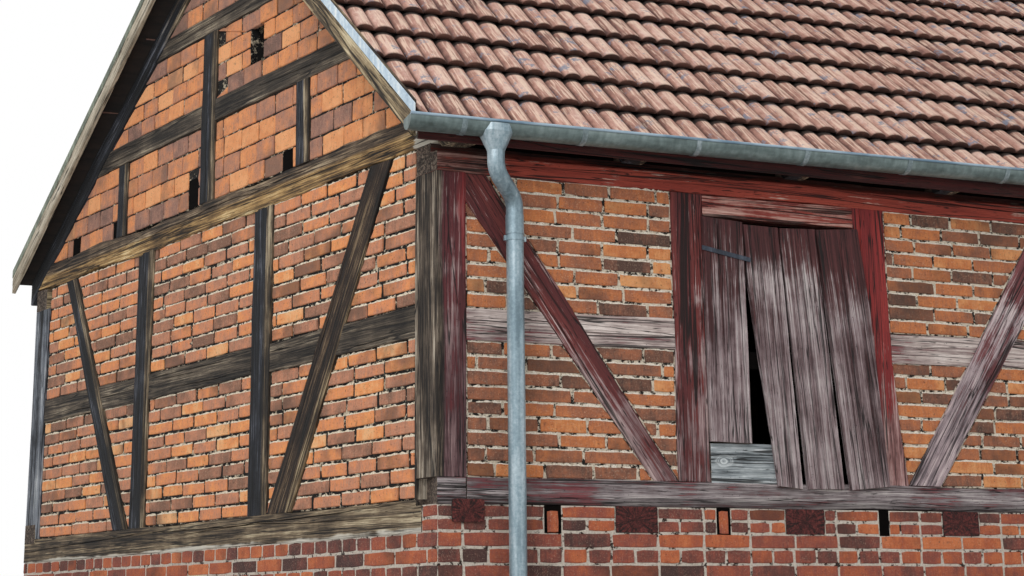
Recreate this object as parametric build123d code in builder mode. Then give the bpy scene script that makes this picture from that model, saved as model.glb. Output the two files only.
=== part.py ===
from build123d import *
import os
from math import acos, atan2, copysign, cos, hypot, radians, sin, tan

# A half-timbered barn of two storeys with a skewed gable, brick infill and a tiled roof.
# Sizes are millimetres. Z is height above the ground, X runs along the eaves wall
# towards the square end, and Y runs from the eaves wall to the rear.

os.makedirs("parts", exist_ok=True)

# Plan
corner_angle = 110.0
gable_length = 4760.0
unit_length = 3750.0
unit_count = 2
corner_post_width = 152.0

# Heights above the ground
ground_wall_top = 2040.0
joist_height = 130.0
sill_height = 130.0
gable_sill_height = 160.0
sill_block_length = 148.0
sill_block_gap = 3.0
plate_bottom = 3830.0
plate_height = 150.0
rebate_height = 50.0
rebate_depth = 50.0
tie_height = 170.0
rail_bottom = 2978.0
rail_height = 161.0
gable_rail_bottom = 3005.0
middle_rail_bottom = 4650.0
middle_rail_height = 140.0
upper_rail_bottom = 5250.0
upper_rail_height = 120.0

# Thicknesses
ground_wall_thickness = 250.0
timber_depth = 160.0
infill_depth = 120.0
infill_recess = 6.0
floor_thickness = 30.0
plank_thickness = 25.0
ledge_thickness = 30.0

# Eaves wall, measured along the wall inside one unit
hatch_post_left = 1294.0
hatch_post_left_width = 182.0
hatch_post_right = 2400.0
hatch_post_right_width = 202.0
post_swell = 60.0
post_swell_height = 400.0
brace_head_width = 113.0
brace_foot_width = 139.0
leaning_brace_gap = 10.0
leaning_brace_width = 200.0

# Gable, measured along the wall from the front corner
gable_front_post_width = 183.0
gable_rear_post_width = 220.0
gable_post_a = 1553.0
gable_post_b = 2990.0
gable_post_width = 200.0
gable_main_stud = 2250.0
gable_front_stud = 1190.0
gable_rear_stud = 3400.0
main_stud_width = 170.0
stud_width = 135.0
rear_brace_head = 650.0
rear_brace_head_width = 160.0
gable_braces_at = (
    (390.0, 580.0, 1550.0, 1306.0),
    (
        gable_length - rear_brace_head,
        gable_length - rear_brace_head + rear_brace_head_width,
        3410.0,
        3220.0,
    ),
)
gable_hole = (1710.0, 4880.0, 150.0, 280.0)

# Rear wall, measured along the wall from the square end
rear_bays = 8
rear_brace_every = 3

# Joists and ceiling beams
joist_first = 1050.0
joist_last = 812.0
joist_count = 7
joist_width = 230.0
jack_joists = (0.0, -900.0)

# Roof
front_pitch = radians(46.5)
ridge_from_front = 1920.0
rafter_depth = 140.0
rafter_width = 120.0
ridge_gap = 2.0
covering_thickness = 77.0
batten_layer = 35.0
tile_row = 305.0
tile_tail_height = 36.0
tile_nose_height = 62.0
front_eave = 185.0
rear_eave = 130.0
front_tail = 120.0
tail_cut = 35.0
rear_tail = 100.0
verge_overhang_front = 220.0
verge_overhang_rear = 120.0
end_verge_overhang = 200.0
barge_thickness = 25.0
barge_below = 53.0
flashing_thickness = 3.0
flashing_face = 40.0
ridge_tile_thickness = 18.0
ridge_tile_reach = 120.0
fascia_thickness = 22.0
fascia_bottom = 3940.0
fascia_top = 4060.0

# Rainwater goods
gutter_offset = 220.0
gutter_radius = 63.5
sheet = 2.5
bead_radius = 8.0
gutter_end = 222.0
gutter_length_count = 4
seam_gap = 0.6
gutter_rim = 4019.0
gutter_fall = 0.010
bracket_thickness = 3.0
bracket_width = 28.0
bracket_leg = 26.0
bracket_first = 55.0
bracket_spacing = 637.0
bracket_count = 6
fitting_clearance = 0.3
pipe_radius = 43.5
pipe_foot = 15.0
outlet_along = 235.0
outlet_top_gap = 11.0
outlet_belly_gap = 49.0
outlet_length = 139.0
outlet_top_width = 148.0
outlet_belly_width = 158.0
outlet_depth = 146.0
outlet_rounding = 1 / 3
neck_straight = 95.0
neck_drop = 110.0
neck_bend = 90.0
pipe_along = 375.0
pipe_offset = 100.0
collar_top = 3600.0
collar_height = 100.0
clamp_heights = (900.0, 3480.0)
clamp_height = 25.0
clamp_ear = 14.0
clamp_pin_radius = 6.0

# Hatch planks, each with its head and foot edges, and doorway
hatch_planks_at = (
    ((1464, 3702), (1702, 3688), (1705, 2503), (1468, 2508)),
    ((1706, 3676), (1916, 3673), (1995, 2272), (1856, 2285), (1720, 3360)),
    ((1926, 3671), (2143, 3682), (2247, 2276), (2031, 2273)),
    ((2150, 3680), (2411, 3702), (2466, 3249), (2529, 2295), (2290, 2272)),
)
hatch_ledges_at = (3420.0, 2900.0)
hatch_lintel_height = 115.0
hatch_lintel_depth = 100.0
threshold_height = 205.0
threshold_length = 420.0
hatch_strap_start = (1452.0, 3543.0)
hatch_strap_end = (1738.0, 3493.0)
strap_height = 24.0
strap_thickness = 5.0
ledge_height = 90.0
doorway_from = 5300.0
doorway_width = 900.0
door_lintel_height = 160.0
door_lintel_bearing = 150.0
door_setback = 60.0
door_clearance = 10.0
door_plank_count = 6
plank_gap = 4.0
door_ledges_at = (280.0, 1480.0)
door_strap_length = 560.0

# Derived plan
front_length = unit_count * unit_length + corner_post_width
joist_spacing = (front_length - joist_first - joist_last) / (joist_count - 1)
skew = radians(corner_angle)
along_gable = Vector(cos(skew), sin(skew), 0)
gable_out = Vector(-sin(skew), cos(skew), 0)
house_depth = gable_length * sin(skew)
rear_left = gable_length * cos(skew)
rear_length = front_length - rear_left

# Derived heights
sill_bottom = ground_wall_top + joist_height
storey = sill_bottom + sill_height
gable_sill_top = ground_wall_top + gable_sill_height
plate_top = plate_bottom + plate_height
tie_top = plate_top + tie_height
tail_soffit = plate_top - tail_cut
doorway_height = ground_wall_top - door_lintel_height

# Derived roof section: both rafters seat on the outer top edges of the plates
rafter_rise = rafter_depth / cos(front_pitch)
ridge_height = plate_top + rafter_rise + ridge_from_front * tan(front_pitch)
rear_run = house_depth - ridge_from_front
rear_drop = ridge_height - plate_top
rear_pitch = acos(rafter_depth / hypot(rear_drop, rear_run)) - atan2(rear_run, rear_drop)


def front_slope(depth, above=0.0):
    """Height of the front slope over a place behind the eaves wall."""
    return ridge_height + above / cos(front_pitch) + (depth - ridge_from_front) * tan(front_pitch)


def rear_slope(depth, above=0.0):
    """Height of the rear slope over a place behind the eaves wall."""
    return ridge_height + above / cos(rear_pitch) - (depth - ridge_from_front) * tan(rear_pitch)


def front_slope_depth(height, above=0.0):
    """Place behind the eaves wall where the front slope has this height."""
    return ridge_from_front + (height - ridge_height - above / cos(front_pitch)) / tan(front_pitch)


def rear_slope_depth(height, above=0.0):
    """Place behind the eaves wall where the rear slope has this height."""
    return ridge_from_front - (height - ridge_height - above / cos(rear_pitch)) / tan(rear_pitch)


# Verge line over the skewed gable, from its rear end to its front end
verge_front = gable_out * verge_overhang_front
verge_rear = along_gable * gable_length + gable_out * verge_overhang_rear
verge_direction = (verge_front - verge_rear).normalized()
verge_out = Vector(verge_direction.Y, -verge_direction.X, 0)


def verge_along(depth):
    """Distance along the verge line, from its rear end, of a place behind the eaves wall."""
    return (depth - verge_rear.Y) / verge_direction.Y


def verge_x(depth):
    """X of the verge line at a place behind the eaves wall."""
    return verge_rear.X + verge_along(depth) * verge_direction.X


# The model's origin is the middle of its footprint at ground level
left_reach = verge_x(house_depth + rear_eave) + flashing_thickness / verge_direction.Y
right_reach = front_length + max(end_verge_overhang + flashing_thickness, gutter_end)
front_reach = -(gutter_offset + gutter_radius + sheet + bead_radius)
rear_reach = house_depth + rear_eave
origin = Vector((left_reach + right_reach) / 2, (front_reach + rear_reach) / 2, 0)

# Working planes. Each wall is drawn as it is seen from outside, from its left end.
ground = Plane(origin=-origin)
front_wall = Plane(origin=-origin, x_dir=(1, 0, 0), z_dir=(0, -1, 0))
rear_arris = Vector(rear_left, house_depth, 0)
gable_wall = Plane(origin=rear_arris - origin, x_dir=-along_gable, z_dir=gable_out)
far_wall = Plane(origin=Vector(front_length, 0, 0) - origin, x_dir=(0, 1, 0), z_dir=(1, 0, 0))
rear_wall = Plane(
    origin=Vector(front_length, house_depth, 0) - origin, x_dir=(-1, 0, 0), z_dir=(0, 1, 0)
)
verge = Plane(origin=verge_rear - origin, x_dir=verge_direction, z_dir=verge_out)
section = Plane(origin=-origin, x_dir=(0, 1, 0), z_dir=(1, 0, 0))


def block(left, bottom, right, top):
    """Corner points of an upright rectangle."""
    return ((left, bottom), (right, bottom), (right, top), (left, top))


under_rafters = (
    (0, 0),
    (house_depth, 0),
    (house_depth, plate_top),
    (ridge_from_front, ridge_height - rafter_rise),
    (0, plate_top),
)


def cut_out(plane, outlines, depth, cuts=(), inset=0.0, below_roof=False):
    """Shapes drawn on a plane, less the cuts, running back from it by the depth."""
    with BuildPart() as piece:
        with BuildSketch(plane.offset(-inset)):
            for points in outlines:
                Polygon(*points, align=None)
            for points in cuts:
                Polygon(*points, align=None, mode=Mode.SUBTRACT)
        extrude(amount=-depth)
        if below_roof:
            with BuildSketch(section):
                Polygon(*under_rafters, align=None)
            extrude(amount=front_length, both=True, mode=Mode.INTERSECT)
    return piece


def save(piece, name):
    piece.part.label = name
    export_step(piece.part, f"parts/{name}.step")


def gable_x(along):
    """Place on the gable drawing of a distance from the front corner."""
    return gable_length - along


def gable_inner(depth, inset):
    """X of a line inside the skewed gable, at a place behind the eaves wall."""
    return inset / sin(skew) + depth / tan(skew)


# An X well outside the skewed gable, where trimming shapes start
past_gable = 2 * rear_left

# Plan of everything outside the inner face of the gable's timbers
gable_band = (
    (gable_inner(0, timber_depth), 0),
    (gable_inner(house_depth, timber_depth), house_depth),
    (past_gable, house_depth),
    (past_gable, 0),
)

# Ground-floor walls. The long walls run through, and the end walls stand between them.
door_right = doorway_from + doorway_width
lintel_bottom = doorway_height
lintel_top = doorway_height + door_lintel_height
bearing_left = doorway_from - door_lintel_bearing
bearing_right = door_right + door_lintel_bearing
inner_front = ground_wall_thickness
inner_rear = house_depth - ground_wall_thickness

with BuildPart() as ground_wall_front:
    with BuildSketch(ground):
        Polygon(
            (0, 0),
            (front_length, 0),
            (front_length, inner_front),
            (gable_inner(inner_front, 0), inner_front),
            align=None,
        )
    extrude(amount=ground_wall_top)
    with BuildSketch(front_wall):
        Polygon(*block(doorway_from, 0, door_right, lintel_bottom), align=None)
        Polygon(*block(bearing_left, lintel_bottom, bearing_right, ground_wall_top), align=None)
    extrude(amount=-ground_wall_thickness, mode=Mode.SUBTRACT)
save(ground_wall_front, "ground_wall_front")

with BuildPart() as ground_wall_rear:
    with BuildSketch(ground):
        Polygon(
            (gable_inner(inner_rear, 0), inner_rear),
            (front_length, inner_rear),
            (front_length, house_depth),
            (rear_left, house_depth),
            align=None,
        )
    extrude(amount=ground_wall_top)
save(ground_wall_rear, "ground_wall_rear")

with BuildPart() as ground_wall_ends:
    with BuildSketch(ground):
        Polygon(
            (gable_inner(inner_front, 0), inner_front),
            (gable_inner(inner_front, ground_wall_thickness), inner_front),
            (gable_inner(inner_rear, ground_wall_thickness), inner_rear),
            (gable_inner(inner_rear, 0), inner_rear),
            align=None,
        )
        far_wall_inner = front_length - ground_wall_thickness
        Polygon(*block(far_wall_inner, inner_front, front_length, inner_rear), align=None)
    extrude(amount=ground_wall_top)
save(ground_wall_ends, "ground_wall_ends")

# Joists between the storeys, with masonry filling between their ends
full_joists = [joist_first + i * joist_spacing for i in range(joist_count)]


def beams(centres, width, bottom, height):
    """Beams from the front face to the rear face, trimmed behind the gable timbers."""
    with BuildPart() as piece:
        with BuildSketch(ground.offset(bottom)):
            for centre in centres:
                left, right = centre - width / 2, centre + width / 2
                Polygon(*block(left, 0, right, house_depth), align=None)
            Polygon(*gable_band, align=None, mode=Mode.SUBTRACT)
        extrude(amount=height)
    return piece


all_joists = [*jack_joists, *full_joists]
floor_joists = beams(all_joists, joist_width, ground_wall_top, joist_height)
save(floor_joists, "floor_joists")

far_sill_inner = front_length - timber_depth
with BuildPart() as beam_filling:
    with BuildSketch(ground.offset(ground_wall_top)):
        Polygon(
            (0, 0),
            (far_sill_inner, 0),
            (far_sill_inner, infill_depth),
            (gable_inner(infill_depth, 0), infill_depth),
            align=None,
        )
        Polygon(
            (gable_inner(house_depth - infill_depth, timber_depth), house_depth - infill_depth),
            (far_sill_inner, house_depth - infill_depth),
            (far_sill_inner, house_depth),
            (gable_inner(house_depth, timber_depth), house_depth),
            align=None,
        )
        for centre in all_joists:
            left, right = centre - joist_width / 2, centre + joist_width / 2
            start = 0 if centre in full_joists else infill_depth
            Polygon(*block(left, start, right, house_depth), align=None, mode=Mode.SUBTRACT)
    extrude(amount=joist_height)

with BuildPart() as upper_floor:
    with BuildSketch(ground.offset(sill_bottom)):
        floor_front, floor_rear = timber_depth, house_depth - timber_depth
        Polygon(
            (gable_inner(floor_front, timber_depth), floor_front),
            (far_sill_inner, floor_front),
            (far_sill_inner, floor_rear),
            (gable_inner(floor_rear, timber_depth), floor_rear),
            align=None,
        )
    extrude(amount=floor_thickness)
save(upper_floor, "upper_floor")

# Sills. The long sills cross over the ends of the gable sills, which are notched under them.
# The eaves sill starts with a short block under the corner post.
with BuildPart() as side_sills:
    with BuildSketch(ground.offset(sill_bottom)):
        Polygon(*block(0, 0, sill_block_length, timber_depth), align=None)
        sill_start = sill_block_length + sill_block_gap
        Polygon(*block(sill_start, 0, front_length, timber_depth), align=None)
        Polygon(
            (gable_inner(house_depth - timber_depth, 0), house_depth - timber_depth),
            (front_length, house_depth - timber_depth),
            (front_length, house_depth),
            (rear_left, house_depth),
            align=None,
        )
    extrude(amount=sill_height)
save(side_sills, "side_sills")


rear_band = house_depth - timber_depth
long_sill_plans = (
    block(past_gable, 0, front_length, timber_depth),
    block(past_gable, rear_band, front_length, house_depth),
)
with BuildPart() as end_sills:
    with BuildSketch(ground.offset(ground_wall_top)):
        Polygon(
            (gable_inner(infill_depth, 0), infill_depth),
            (gable_inner(infill_depth, timber_depth), infill_depth),
            (gable_inner(house_depth, timber_depth), house_depth),
            (rear_left, house_depth),
            align=None,
        )
        Polygon(*block(far_sill_inner, 0, front_length, house_depth), align=None)
    extrude(amount=gable_sill_height)
    with BuildSketch(ground.offset(sill_bottom)):
        for outline in long_sill_plans:
            Polygon(*outline, align=None)
    extrude(amount=gable_sill_height, mode=Mode.SUBTRACT)
save(end_sills, "end_sills")

# Corner posts, hewn to the angle of each corner and notched over the long sills
front_turn = along_gable * gable_front_post_width
front_turn_inner = front_turn - gable_out * timber_depth
rear_turn = along_gable * (gable_length - gable_rear_post_width)
rear_corner_x = gable_inner(house_depth - timber_depth, timber_depth)
rear_turn_inner = rear_turn - gable_out * ((rear_corner_x - rear_turn.X) / -gable_out.X)
rear_corner_width = rear_corner_x - rear_left
far_post = front_length - corner_post_width
with BuildPart() as corner_posts:
    with BuildSketch(ground.offset(gable_sill_top)):
        Polygon(
            (0, 0),
            (corner_post_width, 0),
            (corner_post_width, timber_depth),
            (front_turn_inner.X, front_turn_inner.Y),
            (front_turn.X, front_turn.Y),
            align=None,
        )
        Polygon(
            (rear_left, house_depth),
            (rear_turn.X, rear_turn.Y),
            (rear_turn_inner.X, rear_turn_inner.Y),
            (rear_turn_inner.X, house_depth),
            align=None,
        )
        Polygon(*block(far_post, 0, front_length, gable_front_post_width), align=None)
        far_rear = house_depth - gable_front_post_width
        Polygon(*block(far_post, far_rear, front_length, house_depth), align=None)
    extrude(amount=plate_bottom - gable_sill_top)
    with BuildSketch(ground.offset(sill_bottom)):
        for outline in long_sill_plans:
            Polygon(*outline, align=None)
    extrude(amount=sill_height, mode=Mode.SUBTRACT)
save(corner_posts, "corner_posts")

# Eaves wall frame
front_posts_at = []
front_braces_at = []
for unit in range(unit_count):
    start = unit * unit_length
    if unit > 0:
        front_posts_at.append((start, corner_post_width))
    front_posts_at.append((start + hatch_post_left, hatch_post_left_width))
    front_posts_at.append((start + hatch_post_right, hatch_post_right_width))
    head = start + corner_post_width
    foot = start + hatch_post_left
    front_braces_at.append(
        (
            (head, plate_bottom),
            (head, plate_bottom - brace_foot_width),
            (foot - brace_foot_width, storey),
            (foot, storey),
            (head + brace_head_width, plate_bottom),
        )
    )
    foot = start + hatch_post_right + hatch_post_right_width + post_swell + leaning_brace_gap
    head = start + unit_length
    front_braces_at.append(
        (
            (foot, storey),
            (foot + leaning_brace_width, storey),
            (head, plate_bottom - leaning_brace_width),
            (head, plate_bottom),
            (head - brace_head_width, plate_bottom),
        )
    )



def post_outline(left, width):
    """A post of the eaves wall. The one right of the hatch swells towards its foot."""
    right = left + width
    if width != hatch_post_right_width:
        return block(left, storey, right, plate_bottom)
    swell_start = (right + post_swell / 3, storey + post_swell_height)
    top = ((right, rail_bottom), (right, plate_bottom), (left, plate_bottom))
    return ((left, storey), (right + post_swell, storey), swell_start, *top)


front_post_outlines = [post_outline(left, width) for left, width in front_posts_at]
front_posts = cut_out(front_wall, front_post_outlines, timber_depth)
save(front_posts, "front_posts")
front_braces = cut_out(front_wall, front_braces_at, timber_depth)
save(front_braces, "front_braces")

hatch_left = hatch_post_left + hatch_post_left_width
hatch_opening = block(hatch_left, storey, hatch_post_right, plate_bottom)
front_clear = block(corner_post_width, storey, far_post, plate_bottom)
front_rail_band = block(corner_post_width, rail_bottom, far_post, rail_bottom + rail_height)
front_rail_cuts = [*front_post_outlines, *front_braces_at, hatch_opening]
front_rails = cut_out(front_wall, [front_rail_band], timber_depth, front_rail_cuts)
save(front_rails, "front_rails")
front_cuts = [*front_rail_cuts, front_rail_band]
front_infill = cut_out(front_wall, [front_clear], infill_depth, front_cuts, infill_recess)
save(front_infill, "front_infill")

# Plates over the long walls, which run out to the gable face. The front one is rebated on top.
with BuildPart() as wall_plates:
    with BuildSketch(ground.offset(plate_bottom)):
        Polygon(
            (0, 0),
            (front_length, 0),
            (front_length, timber_depth),
            (gable_inner(timber_depth, 0), timber_depth),
            align=None,
        )
        Polygon(
            (gable_inner(house_depth - timber_depth, 0), house_depth - timber_depth),
            (front_length, house_depth - timber_depth),
            (front_length, house_depth),
            (rear_left, house_depth),
            align=None,
        )
    extrude(amount=plate_height)
    with BuildSketch(front_wall):
        Polygon(*block(rear_left, plate_top - rebate_height, front_length, plate_top), align=None)
    extrude(amount=-rebate_depth, mode=Mode.SUBTRACT)
save(wall_plates, "wall_plates")


# End walls: posts, braces, rails, tie beam, studs and infill
def end_wall(name, plane, along, front_width, rear_width, scale, holes=()):
    """Cut out the members of an end wall, save each kind as a node and return the tie beam.

    along gives the place on the drawing of a distance from the front corner.
    """
    length = gable_length * scale

    def upright(start, finish, bottom, top):
        edges = sorted((along(start * scale), along(finish * scale)))
        return block(edges[0], bottom, edges[1], top)

    posts = [
        upright(start, start + gable_post_width, gable_sill_top, plate_top)
        for start in (gable_post_a, gable_post_b)
    ]
    studs = [
        upright(gable_main_stud, gable_main_stud + main_stud_width, tie_top, upper_rail_bottom),
        upright(gable_front_stud, gable_front_stud + stud_width, tie_top, middle_rail_bottom),
        upright(gable_rear_stud, gable_rear_stud + stud_width, tie_top, middle_rail_bottom),
    ]
    braces = [
        (
            (along(head_front * scale), plate_top),
            (along(head_rear * scale), plate_top),
            (along(foot_rear * scale), gable_sill_top),
            (along(foot_front * scale), gable_sill_top),
        )
        for head_front, head_rear, foot_rear, foot_front in gable_braces_at
    ]
    left, right = sorted((along(front_width), along(length - rear_width)))
    outer_left, outer_right = sorted((along(0.0), along(length)))
    rail = block(left, gable_rail_bottom, right, gable_rail_bottom + rail_height)
    roof_rails = [
        block(outer_left, bottom, outer_right, bottom + height)
        for bottom, height in (
            (middle_rail_bottom, middle_rail_height),
            (upper_rail_bottom, upper_rail_height),
        )
    ]
    tie = block(outer_left, plate_top, outer_right, tie_top)
    save(cut_out(plane, [*posts, *studs], timber_depth), f"{name}_posts")
    save(cut_out(plane, braces, timber_depth, posts), f"{name}_braces")
    rail_cuts = [*posts, *braces, *studs]
    rails = cut_out(plane, [rail, *roof_rails], timber_depth, rail_cuts, below_roof=True)
    save(rails, f"{name}_rails")
    below_tie = block(left, gable_sill_top, right, plate_top)
    above_tie = block(outer_left, tie_top, outer_right, ridge_height)
    panel_cuts = [*rail_cuts, rail, *roof_rails, *holes]
    panels = [below_tie, above_tie]
    infill = cut_out(plane, panels, infill_depth, panel_cuts, infill_recess, below_roof=True)
    save(infill, f"{name}_infill")
    return cut_out(plane, [tie], timber_depth, below_roof=True)


hole_along, hole_bottom, hole_width, hole_height = gable_hole
gable_gap = block(
    gable_x(hole_along + hole_width), hole_bottom, gable_x(hole_along), hole_bottom + hole_height
)
gable_tie = end_wall(
    "gable", gable_wall, gable_x, gable_front_post_width, gable_rear_post_width, 1.0, [gable_gap]
)


def far_x(along):
    """Place on the square end's drawing of a distance from the front corner."""
    return along


far_tie = end_wall(
    "far_end", far_wall, far_x, gable_front_post_width, gable_front_post_width, sin(skew)
)
with BuildPart() as tie_beams:
    add(gable_tie.part)
    add(far_tie.part)
save(tie_beams, "tie_beams")

# Rear wall frame, which plainly repeats the eaves wall without its hatch
rear_spacing = (rear_length - gable_front_post_width) / rear_bays
rear_right_edge = rear_length - rear_corner_width
rear_post_outlines = [
    block(i * rear_spacing, storey, i * rear_spacing + hatch_post_left_width, plate_bottom)
    for i in range(1, rear_bays)
]
rear_brace_outlines = []
for bay in range(0, rear_bays, rear_brace_every):
    head = bay * rear_spacing + gable_front_post_width
    foot = (bay + 1) * rear_spacing
    if bay + 1 == rear_bays:
        foot = rear_right_edge
    rear_brace_outlines.append(
        (
            (head, plate_bottom),
            (head, plate_bottom - brace_foot_width),
            (foot - brace_foot_width, storey),
            (foot, storey),
            (head + brace_head_width, plate_bottom),
        )
    )
rear_rail_band = block(corner_post_width, rail_bottom, rear_right_edge, rail_bottom + rail_height)
rear_clear = block(corner_post_width, storey, rear_right_edge, plate_bottom)
rear_rail_cuts = [*rear_post_outlines, *rear_brace_outlines]
save(cut_out(rear_wall, rear_post_outlines, timber_depth), "rear_posts")
save(cut_out(rear_wall, rear_brace_outlines, timber_depth, rear_post_outlines), "rear_braces")
save(cut_out(rear_wall, [rear_rail_band], timber_depth, rear_rail_cuts), "rear_rails")
rear_cuts = [*rear_rail_cuts, rear_rail_band]
rear_infill = cut_out(rear_wall, [rear_clear], infill_depth, rear_cuts, infill_recess)
save(rear_infill, "rear_infill")

# Ceiling beams on the plates, with their ends cut under the rafters
with BuildPart() as ceiling_beams:
    with BuildSketch(section):
        Polygon(
            (0, plate_top),
            (house_depth, plate_top),
            (rear_slope_depth(tie_top, -rafter_depth), tie_top),
            (front_slope_depth(tie_top, -rafter_depth), tie_top),
            align=None,
        )
    extrude(amount=front_length, both=True)
    with BuildSketch(ground.offset(plate_bottom)):
        for centre in all_joists:
            left, right = centre - rafter_width / 2, centre + rafter_width / 2
            Polygon(*block(left, 0, right, house_depth), align=None)
        Polygon(*gable_band, align=None, mode=Mode.SUBTRACT)
    extrude(amount=tie_top, mode=Mode.INTERSECT)
save(ceiling_beams, "ceiling_beams")


def slope_band(slope, first, last, lower, upper):
    """A band along a slope, between two heights square to it above the rafter tops."""
    return (
        (first, slope(first, lower)),
        (last, slope(last, lower)),
        (last, slope(last, upper)),
        (first, slope(first, upper)),
    )


# Rafters, butted at the ridge. The pair on the skewed gable follows its wall.
ridge_front_face = ridge_from_front - ridge_gap / 2
ridge_rear_face = ridge_from_front + ridge_gap / 2
tail_front, tail_rear = -front_tail, house_depth + rear_tail
front_rafter = (
    (tail_front, tail_soffit),
    (front_slope_depth(tail_soffit, -rafter_depth), tail_soffit),
    (ridge_front_face, front_slope(ridge_front_face, -rafter_depth)),
    (ridge_front_face, front_slope(ridge_front_face)),
    (tail_front, front_slope(tail_front)),
)
rear_rafter = slope_band(rear_slope, ridge_rear_face, tail_rear, -rafter_depth, 0)


def over_plan(outlines, points):
    """Pieces with one section along the house, standing over plan outlines."""
    with BuildPart() as piece:
        with BuildSketch(ground):
            for outline in outlines:
                Polygon(*outline, align=None)
        extrude(amount=2 * ridge_height)
        with BuildSketch(section):
            Polygon(*points, align=None)
        extrude(amount=2 * front_length, both=True, mode=Mode.INTERSECT)
    return piece


gable_strip = (
    (gable_inner(tail_front, 0), tail_front),
    (gable_inner(tail_front, rafter_width), tail_front),
    (gable_inner(tail_rear, rafter_width), tail_rear),
    (gable_inner(tail_rear, 0), tail_rear),
)
far_strip = block(front_length - rafter_width, tail_front, front_length, tail_rear)
long_strips = [
    block(centre - rafter_width / 2, tail_front, centre + rafter_width / 2, tail_rear)
    for centre in full_joists
]
jack_strips = []
for centre in jack_joists:
    left, right = centre - rafter_width / 2, centre + rafter_width / 2
    clear_of_gable = (left - timber_depth / sin(skew)) * tan(skew)
    jack_strips.append(block(left, max(clear_of_gable, ridge_rear_face), right, tail_rear))
front_rafters = over_plan([gable_strip, *long_strips, far_strip], front_rafter)
rear_rafters = over_plan([gable_strip, *long_strips, far_strip, *jack_strips], rear_rafter)
with BuildPart() as rafters:
    add(front_rafters.part)
    add(rear_rafters.part)
save(rafters, "rafters")

# The filling closes the gaps between rafters over both plates too
front_filling_plan = (
    (gable_inner(rebate_depth, timber_depth), rebate_depth),
    (far_sill_inner, rebate_depth),
    (far_sill_inner, timber_depth),
    (gable_inner(timber_depth, timber_depth), timber_depth),
)
rear_filling_plan = (
    (gable_inner(rear_band, timber_depth), rear_band),
    (far_sill_inner, rear_band),
    (far_sill_inner, house_depth - rebate_depth),
    (gable_inner(house_depth - rebate_depth, timber_depth), house_depth - rebate_depth),
)
under_covering = (
    (0, plate_top),
    (house_depth, plate_top),
    (house_depth, rear_slope(house_depth)),
    (ridge_from_front, ridge_height),
    (0, front_slope(0)),
)
with BuildPart() as eaves_filling:
    with BuildSketch(ground):
        for outline in (front_filling_plan, rear_filling_plan):
            Polygon(*outline, align=None)
        for centre in all_joists:
            left, right = centre - rafter_width / 2, centre + rafter_width / 2
            start = 0 if centre in full_joists else ridge_from_front
            Polygon(*block(left, start, right, house_depth), align=None, mode=Mode.SUBTRACT)
    extrude(amount=2 * ridge_height)
    with BuildSketch(section):
        Polygon(*under_covering, align=None)
    extrude(amount=2 * front_length, both=True, mode=Mode.INTERSECT)
with BuildPart() as whole_filling:
    add(beam_filling.part)
    add(eaves_filling.part)
save(whole_filling, "beam_filling")

# Roof covering of battens and rows of tiles, trimmed to the skewed verge
covering_left = past_gable
covering_right = front_length + end_verge_overhang - barge_thickness
rear_edge = house_depth + rear_eave
cap_front, cap_rear = ridge_from_front - ridge_tile_reach, ridge_from_front + ridge_tile_reach


def tile_rows(slope, pitch, eave, bedding):
    """Top outline of a slope in steps, from the eave up to the bedding of the ridge."""
    towards_ridge = copysign(tile_row * cos(pitch), bedding - eave)
    row_count = int((bedding - eave) / towards_ridge)
    points = [(eave, slope(eave, tile_nose_height))]
    for row in range(1, row_count + 1):
        depth = eave + row * towards_ridge
        points.append((depth, slope(depth, tile_tail_height)))
        points.append((depth, slope(depth, tile_nose_height)))
    share = (bedding - eave) / towards_ridge - row_count
    last_height = tile_nose_height - share * (tile_nose_height - tile_tail_height)
    points.append((bedding, slope(bedding, last_height)))
    points.append((bedding, slope(bedding, covering_thickness)))
    return points


front_band = (
    (ridge_from_front, front_slope(ridge_from_front, covering_thickness)),
    (ridge_from_front, front_slope(ridge_from_front)),
    (tail_front, front_slope(tail_front)),
    (tail_front, front_slope(tail_front, batten_layer)),
    (-front_eave, front_slope(-front_eave, batten_layer)),
    *tile_rows(front_slope, front_pitch, -front_eave, cap_front),
)
rear_band_points = (
    (ridge_from_front, rear_slope(ridge_from_front, covering_thickness)),
    (ridge_from_front, rear_slope(ridge_from_front)),
    (rear_edge, rear_slope(rear_edge)),
    *tile_rows(rear_slope, rear_pitch, rear_edge, cap_rear),
)


def covering(points):
    """A roof slope, from the skewed verge to the square end."""
    with BuildPart() as piece:
        with BuildSketch(section.offset(covering_left)):
            Polygon(*points, align=None)
        extrude(amount=covering_right - covering_left)
        split(bisect_by=verge.offset(-barge_thickness), keep=Keep.BOTTOM)
    return piece


save(covering(front_band), "roof_front")
save(covering(rear_band_points), "roof_rear")

# Ridge capping, bent over both slopes
cap_under = covering_thickness
cap_over = covering_thickness + ridge_tile_thickness
with BuildPart() as ridge_cap:
    with BuildSketch(section.offset(covering_left)) as cap_profile:
        Polygon(
            (cap_front, front_slope(cap_front, cap_under)),
            (ridge_from_front, front_slope(ridge_from_front, cap_under)),
            (ridge_from_front, rear_slope(ridge_from_front, cap_under)),
            (cap_rear, rear_slope(cap_rear, cap_under)),
            (cap_rear, rear_slope(cap_rear, cap_over)),
            (ridge_from_front, front_slope(ridge_from_front, cap_over)),
            (cap_front, front_slope(cap_front, cap_over)),
            align=None,
        )
        fillet(cap_profile.vertices().group_by(Axis.Y)[-1], ridge_tile_reach / 2)
    extrude(amount=covering_right + barge_thickness - covering_left)
    split(bisect_by=verge, keep=Keep.BOTTOM)
save(ridge_cap, "ridge_cap")


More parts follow.
